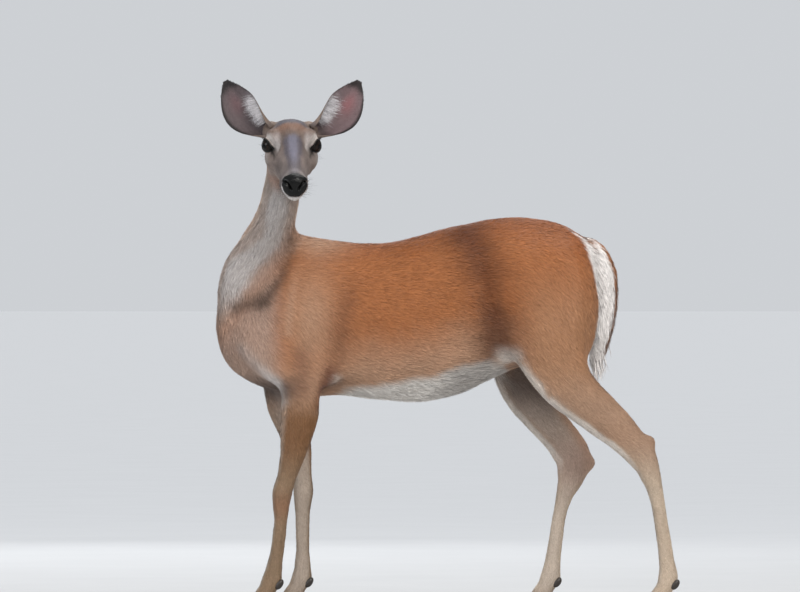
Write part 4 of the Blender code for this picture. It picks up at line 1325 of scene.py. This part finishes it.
def strips(name, corners, tints, chart):
    """One mesh of tufts, with a small patch for each on the skin's own unwrap."""
    count = len(corners)
    mesh = bpy.data.meshes.new(name)
    mesh.vertices.add(count * 5)
    mesh.vertices.foreach_set("co", corners.astype(np.float32).ravel())
    index = (np.arange(count)[:, None, None] * 5 + TRIANGLES).reshape(-1)
    mesh.loops.add(len(index))
    mesh.loops.foreach_set("vertex_index", index.astype(np.int32))
    mesh.polygons.add(len(index) // 3)
    mesh.polygons.foreach_set("loop_start", np.arange(0, len(index), 3, dtype=np.int32))
    mesh.update(calc_edges=True)
    low, high = chart.min(axis=0), chart.max(axis=0)
    place = 0.004 + (chart - low) / np.maximum(high - low, 1e-6) * 0.988
    flat = (place[:, None, :] + PATCH[None])[:, TRIANGLES.ravel()]
    layer = mesh.uv_layers.new(name="OFBake")
    layer.data.foreach_set("uv", flat.astype(np.float32).ravel())
    store(mesh, "coat", "FLOAT_COLOR", tints.reshape(-1, 3))
    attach(placed(name, mesh, COAT), "root")


def coat_material():
    """Glossy summer hair: the stored colour with fine streaks, and a faint sheen."""
    n = Nodes("hair", Roughness=0.52, Specular_IOR_Level=0.22, Sheen_Weight=0.05, Sheen_Roughness=0.45)
    streaks = n.noise(700.0, 2.0)
    n.link(n.shaded(n.attribute("coat"), n.remap(streaks, 0.3, 0.7, 0.86, 1.14)), "Base Color")
    n.link(n.remap(streaks, 0.3, 0.7, 0.46, 0.6), "Roughness")
    n.bump(streaks, 0.0002, 0.3)
    return n.material


def turn_of(a, b):
    """The angle from b's axis towards a's, in turns."""
    return np.arctan2(a, b) / (2 * math.pi)


def charts(cover):
    """The skin unwrapped by regions: round and along the trunk, the neck, the head, each leg and each ear."""
    z, out = cover.z, cover.z.leg_out
    x, y, level = z.p.T
    u, s, w = z.local.T
    side, t, across, lift = cover.ears[1].T
    leg = (y > 0) + 2.0 * z.hind
    return {
        "trunk": columns(x, turn_of(y, level - 0.67)),
        "neck": columns(z.neck_share, turn_of(z.neck_side, -z.throat)),
        "head": columns(u, turn_of(s, w + 0.015)),
        "legs": columns(leg + (turn_of(out[:, 1], -out[:, 0]) + 0.5) * 0.9, level),
        "ears": columns(t, (across + 1) * 0.48 + (lift > 0) + 2.0 * (side > 0)),
    }


def grow_coat(skin):
    """Hair over the whole skin, one region after another."""
    cover = cover_of(skin)
    z = cover.z
    rng = np.random.default_rng(SEED)
    tree = BVHTree.FromPolygons(cover.points.tolist(), cover.faces.tolist())
    unwrap = charts(cover)
    ear = (cover.on_ear > 0.5) * 1.0
    head = (z.head > 0.5) * (1 - ear)
    neck = (z.neck > 0.5) * (1 - ear) * (1 - head)
    leg = (z.leg > 0.5) * 1.0
    trunk = (1 - ear) * (1 - head) * (1 - neck) * (1 - leg)
    for name, mask, thickness in (("trunk", trunk, 2.4), ("neck", neck, 2.4), ("head", head, 2.2),
                                  ("legs", leg, 2.2), ("ears", ear, 1.6)):
        weight = mask * (1 - cover.bare) / (cover.long * cover.wide * 0.62)
        count = int(weigh(cover, weight).sum() * thickness)
        read, corner = scatter(cover, weight, count, rng)
        normals = unit(read(cover.normals))
        lie = read(cover.lie) + rng.normal(0, 0.1, (count, 3))
        lie = unit(beside(lie, normals, 1 - read(cover.hanging)))
        long = read(cover.long) * rng.uniform(0.75, 1.25, count)
        wide = read(cover.wide) * rng.uniform(0.75, 1.25, count)
        lift = read(cover.lift) * rng.uniform(0.5, 1.3, count)
        tufts("coat_" + name, read(cover.points), normals, lie, long, wide, lift, read(cover.colour),
              unwrap[name][corner], rng, tree)
    grow_ear_hair(cover, rng, unwrap["ears"])
    grow_lashes(rng)
    grow_whiskers(cover, rng)


def grow_ear_hair(cover, rng, unwrap):
    """Long pale hair from the half of each ear's hollow that is nearer to the crown."""
    facts = cover.ears[1]
    _, t, across, _ = facts.T
    weight = cover.on_ear * in_hollow(facts, cover.normals) * ramp(-0.05, -0.75, across) * ramp(0.13, 0.22, t)
    weight = weight * fade(0.38, 0.64, t)
    read, corner = scatter(cover, weight, EAR_HAIRS, rng)
    size = (EAR_HAIRS, 3)
    ways = np.zeros(size)
    for side in (-1, 1):
        here, over, facing, tangent, _ = ear_rows(facts[corner], side)
        ways[here] = 0.95 * over + 0.45 * tangent + 0.35 * facing
    ways = unit(ways + rng.normal(0, 0.16, size))
    long = rng.uniform(0.01, 0.031, EAR_HAIRS) * (1 - 0.45 * t[corner])
    wide = rng.uniform(0.00022, 0.0005, EAR_HAIRS)
    lift = rng.uniform(-0.002, 0.003, EAR_HAIRS)
    tone = rng.uniform(0.38, 0.8, (EAR_HAIRS, 1)) * np.array([[0.92, 0.89, 0.92]])
    tufts("coat_ear_hair", read(cover.points), unit(read(cover.normals)), ways, long, wide, lift, tone,
          unwrap[corner], rng, None)


def grow_lashes(rng):
    """Dark lashes along each upper lid, longest in the middle."""
    angles = np.linspace(0.1, 0.93, LASHES) * math.pi + rng.normal(0, 0.02, LASHES)
    for side in (-1, 1):
        axis, corner, up = eye_axes(side)
        turn = (lid_reach(angles) + 0.001) / EYE_RADIUS
        round_eye = np.cos(angles)[:, None] * corner + np.sin(angles)[:, None] * up
        out = np.cos(turn)[:, None] * axis + np.sin(turn)[:, None] * round_eye
        roots = eye_centre(side) + out * (EYE_RADIUS + 0.0012)
        stray = rng.normal(0, 0.07, (LASHES, 3))
        ways = unit(0.75 * out + 0.55 * round_eye + np.array([0.1, 0, -0.05]) + stray)
        droop = unit(np.cross(np.cross(ways, up), ways)) * -1
        long = (0.0055 + 0.006 * np.sin(angles) ** 2) * rng.uniform(0.8, 1.15, LASHES)
        name = "coat_lashes_left" if side > 0 else "coat_lashes_right"
        tone = evenly((0.012, 0.009, 0.008), LASHES)
        tufts(name, from_head(roots), droop @ HEAD, ways @ HEAD, long, np.full(LASHES, 0.00042),
              np.full(LASHES, 0.0016), tone, columns(angles, side), rng, None)


def grow_whiskers(cover, rng):
    """Thin dark whiskers on lips and chin, and a few under the eyes."""
    local = cover.z.local
    u, _, w = local.T
    lips = ramp(0.105, 0.125, u) * ramp(-0.018, -0.026, w) * (pad_reach(local) < -0.002)
    gap, far = lid_gap(local)
    weight = (lips + 0.6 * (np.abs(gap - 0.009) < 0.003) * (far < 0.04) * (w < -0.004)) * (cover.z.head > 0.9)
    read, _ = scatter(cover, weight, WHISKERS, rng)
    out = unit(read(cover.normals))
    ways = unit(0.9 * out + 0.7 * read(cover.lie) + rng.normal(0, 0.16, (WHISKERS, 3)))
    long = rng.uniform(0.012, 0.028, WHISKERS)
    tufts("coat_whiskers", read(cover.points), out, ways, long, np.full(WHISKERS, 0.00028),
          np.full(WHISKERS, -0.002), np.full((WHISKERS, 3), 0.03), read(local[:, :2]), rng, None)


COAT = coat_material()


# --- eyes and hooves


def eye_material():
    """A wet dark-brown iris with a long level pupil, under a clear cornea."""
    n = Nodes("eye", Roughness=0.1, Specular_IOR_Level=0.0, Coat_Weight=0.3, Coat_Roughness=0.015)
    place = n.attribute("gaze", "Vector")
    parts = n.add("ShaderNodeSeparateXYZ", {0: place}).outputs
    wide = n.times(parts["X"], 1.25)
    tall = n.times(parts["Y"], 2.1)
    from_pupil = n.math("SQRT", n.math("ADD", n.times(wide, wide), n.times(tall, tall)))
    streaks = n.noise(26.0, 4.0, place)
    iris = n.colours(n.times_plus(streaks, 0.18, from_pupil), (0.66, (0.0015, 0.0015, 0.002)),
                     (0.78, (0.014, 0.007, 0.004)), (1.25, (0.005, 0.003, 0.002)))
    n.link(iris, "Base Color")
    n.link(n.remap(streaks, 0.3, 0.7, 0.06, 0.14), "Roughness")
    return n.material


def make_eyes():
    material = eye_material()
    for side, name in ((1, "eye_left"), (-1, "eye_right")):
        axis, corner, _ = (np.array(v) @ HEAD for v in eye_axes(side))
        mesh = bmesh.new()
        bmesh.ops.create_uvsphere(mesh, u_segments=72, v_segments=48, radius=1.0)
        axes = columns(corner, np.cross(axis, corner), axis)
        gaze = []
        for vertex in mesh.verts:
            x, y, z = vertex.co
            gaze.append((x, y * side, z))
            bend = math.acos(max(-1.0, min(1.0, z)))
            radius = EYE_RADIUS - 0.0002 + 0.0009 * math.exp(-((bend / 0.55) ** 2))
            vertex.co = EYES[side] + Vector((axes @ np.array((x, y, z)) * radius).tolist())
        made = object_from(name + "_ball", mesh, material)
        shade_smooth(made)
        store(made.data, "gaze", "FLOAT_VECTOR", gaze)
        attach(made, "root")
        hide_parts(name)


def horn_material():
    """Black-brown horn: growth rings round it, paler and scuffed towards the ground."""
    n = Nodes("horn", Roughness=0.42, Specular_IOR_Level=0.4)
    place = n.place()
    height = n.add("ShaderNodeSeparateXYZ", {0: place}).outputs["Z"]
    flattened = n.add("ShaderNodeMapping", {"Vector": place, "Scale": (1, 1, 0.15)}).outputs[0]
    grain = n.noise(240.0, 4.0, flattened)
    rings = n.math("SINE", n.times_plus(grain, 2.0, n.times(height, 2300.0)))
    worn = n.remap(n.times_plus(grain, 0.01, height), 0.004, 0.026, 1.0, 0.0)
    tone = n.times_plus(grain, 0.35, n.times(worn, 0.6))
    n.link(n.colours(tone, (0, (0.01, 0.008, 0.007)), (1, (0.085, 0.062, 0.046))), "Base Color")
    n.link(n.remap(grain, 0.3, 0.7, 0.34, 0.55), "Roughness")
    n.bump(n.times_plus(grain, 0.8, n.times(rings, 0.15)), 0.0004, 0.5)
    return n.material


# Levels of a claw: height, shift back, and length and width as shares.
CLAW = [(0.0, -0.0035, 1.0, 0.96), (0.014, -0.0015, 0.96, 1.0), (0.0356, 0.0065, 0.74, 0.94)]
CLAW_ROWS, CLAW_SIDES = 30, 48


def make_claw(name):
    """One claw of a hoof: flat below and on its inner face, ridged by growth rings."""
    low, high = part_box(name)
    left = name.endswith("left_claw")
    middle_x, middle_y = low.x + 0.0345, (high.y + 0.0006 if left else low.y - 0.0006)
    mesh = bmesh.new()
    rings = []
    for step, (z, shift, long, wide) in enumerate(curve_through(CLAW, CLAW_ROWS).tolist()):
        ring = []
        ridge = 1 + 0.0035 * math.sin(step * 1.3) * (step > 1)
        for a in np.linspace(0, 2 * math.pi, CLAW_SIDES, endpoint=False).tolist():
            toe = max(math.cos(a), 0)
            x = shift - 0.031 * long * ridge * math.cos(a)
            outward = math.sin(a) * (0.0215 - 0.0012) * wide * ridge * (1 - 0.3 * toe**2)
            y = 0.0012 + 0.002 * toe**2 + max(outward, 0) - 0.0006 * (math.sin(a) < -0.01)
            ring.append(mesh.verts.new((middle_x + x, middle_y + (-y if left else y), z)))
        rings.append(ring)
    skirt(mesh, rings)
    mesh.faces.new(rings[0][::-1])
    mesh.faces.new(rings[-1])
    bmesh.ops.recalc_face_normals(mesh, faces=mesh.faces[:])
    return mesh


def make_dewclaw(name):
    low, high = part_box(name)
    mesh = bmesh.new()
    turn = Matrix.Rotation(math.radians(35), 4, "Y")
    bmesh.ops.create_uvsphere(mesh, u_segments=24, v_segments=16, radius=1.0)
    middle = Vector((high.x - 0.0096, (low.y + high.y) / 2, high.z - 0.01117))
    for vertex in mesh.verts:
        ridge = 1 + 0.008 * math.sin(vertex.co.z * 13)
        x, y, z = vertex.co.x * 0.0078 * ridge, vertex.co.y * 0.0062 * ridge, vertex.co.z * 0.0125
        vertex.co = middle + turn @ Vector((x, y, z))
    return mesh


def make_hooves():
    material = horn_material()
    for name in list(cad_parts):
        if name.startswith(("hoof", "dewclaw")):
            mesh = make_claw(name) if name.startswith("hoof") else make_dewclaw(name)
            made = object_from(name + "_horn", mesh, material)
            shade_smooth(made, lambda face: abs(face.normal.z) < 0.98)
            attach(made, "root")
            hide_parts(name)


# --- scene

skin = make_skin()
dress_skin(skin)
grow_coat(skin)
make_eyes()
make_hooves()


def lamp(target, name, place, size, power, colour):
    light = bpy.data.lights.new(name, "AREA")
    light.shape = "DISK"
    light.size = size
    light.energy = power
    light.color = colour
    made = placed(name, light)
    made.location = place
    made.rotation_euler = (target - Vector(place)).to_track_quat("-Z", "Y").to_euler()


PALE_AIR = (0.9, 0.93, 0.97)
CAMERA_DISTANCE = 20
VIEW_WIDTH = 1.739  # metres across the picture at the doe
LAMPS = [
    ("key", (1.7, -4.6, 4.0), 2.6, 285, (1.0, 0.97, 0.92)),
    ("fill", (-4.5, -3.1, 2.3), 3.4, 135, (0.92, 0.96, 1.0)),
    ("behind", (-1.2, 5.2, 2.8), 4.0, 110, (0.96, 0.98, 1.0)),
    ("top", (0.2, 0.6, 4.6), 3.2, 150, (1.0, 0.99, 0.97)),
    ("glint", (-3.4, -3.6, 2.5), 0.35, 10, (1.0, 1.0, 1.0)),
]


def seen_only(tree, light, behind):
    """A brightness that the camera sees and one that lights the model."""
    path = tree.nodes.new("ShaderNodeLightPath").outputs["Is Camera Ray"]
    share = tree.nodes.new("ShaderNodeMapRange")
    tree.links.new(path, share.inputs["Value"])
    share.inputs["To Min"].default_value = light
    share.inputs["To Max"].default_value = behind
    return share.outputs[0]


def studio():
    """A plain pale floor, soft light from above and in front, and the camera level with the chest."""
    target = Vector((-0.0913, 0, 0.6957)) + Vector(OFFSET)
    camera = bpy.data.cameras.new("camera")
    camera.sensor_width = 36
    camera.lens = camera.sensor_width * CAMERA_DISTANCE / VIEW_WIDTH
    camera.clip_end = 1000
    seen = placed("camera", camera)
    seen.location = target + Vector((0, -CAMERA_DISTANCE, 0))
    seen.rotation_euler = (math.pi / 2, 0, 0)
    bpy.context.scene.camera = seen
    n = Nodes("floor", Roughness=0.9, Specular_IOR_Level=0.1, Emission_Color=PALE_AIR)
    away = n.add("ShaderNodeVectorMath", {0: n.place(), 1: (0.0, -2.2, 0.0)}, operation="DISTANCE")
    glow = n.remap(away.outputs["Value"], 1.0, 9.0, 0.16, 0.55)
    n.link(n.times(glow, seen_only(n.tree, 0.0, 1.0)), "Emission Strength")
    shade = n.remap(n.noise(3.0, 3.0), 0.3, 0.7, 0.26, 0.28)
    shade = n.times(shade, seen_only(n.tree, 2.0, 1.0))
    grey = n.add("ShaderNodeCombineColor", dict.fromkeys(("Red", "Green", "Blue"), shade))
    n.link(grey.outputs[0], "Base Color")
    mesh = bmesh.new()
    bmesh.ops.create_circle(mesh, cap_ends=True, segments=96, radius=400)
    object_from("floor", mesh, n.material)
    world = bpy.data.worlds.new("studio")
    world.use_nodes = True
    air = world.node_tree.nodes["Background"]
    air.inputs["Color"].default_value = (*PALE_AIR, 1)
    world.node_tree.links.new(seen_only(world.node_tree, 0.56, 0.68), air.inputs["Strength"])
    bpy.context.scene.world = world
    bpy.context.scene.view_settings.view_transform = "Standard"
    for row in LAMPS:
        lamp(target, *row)


studio()
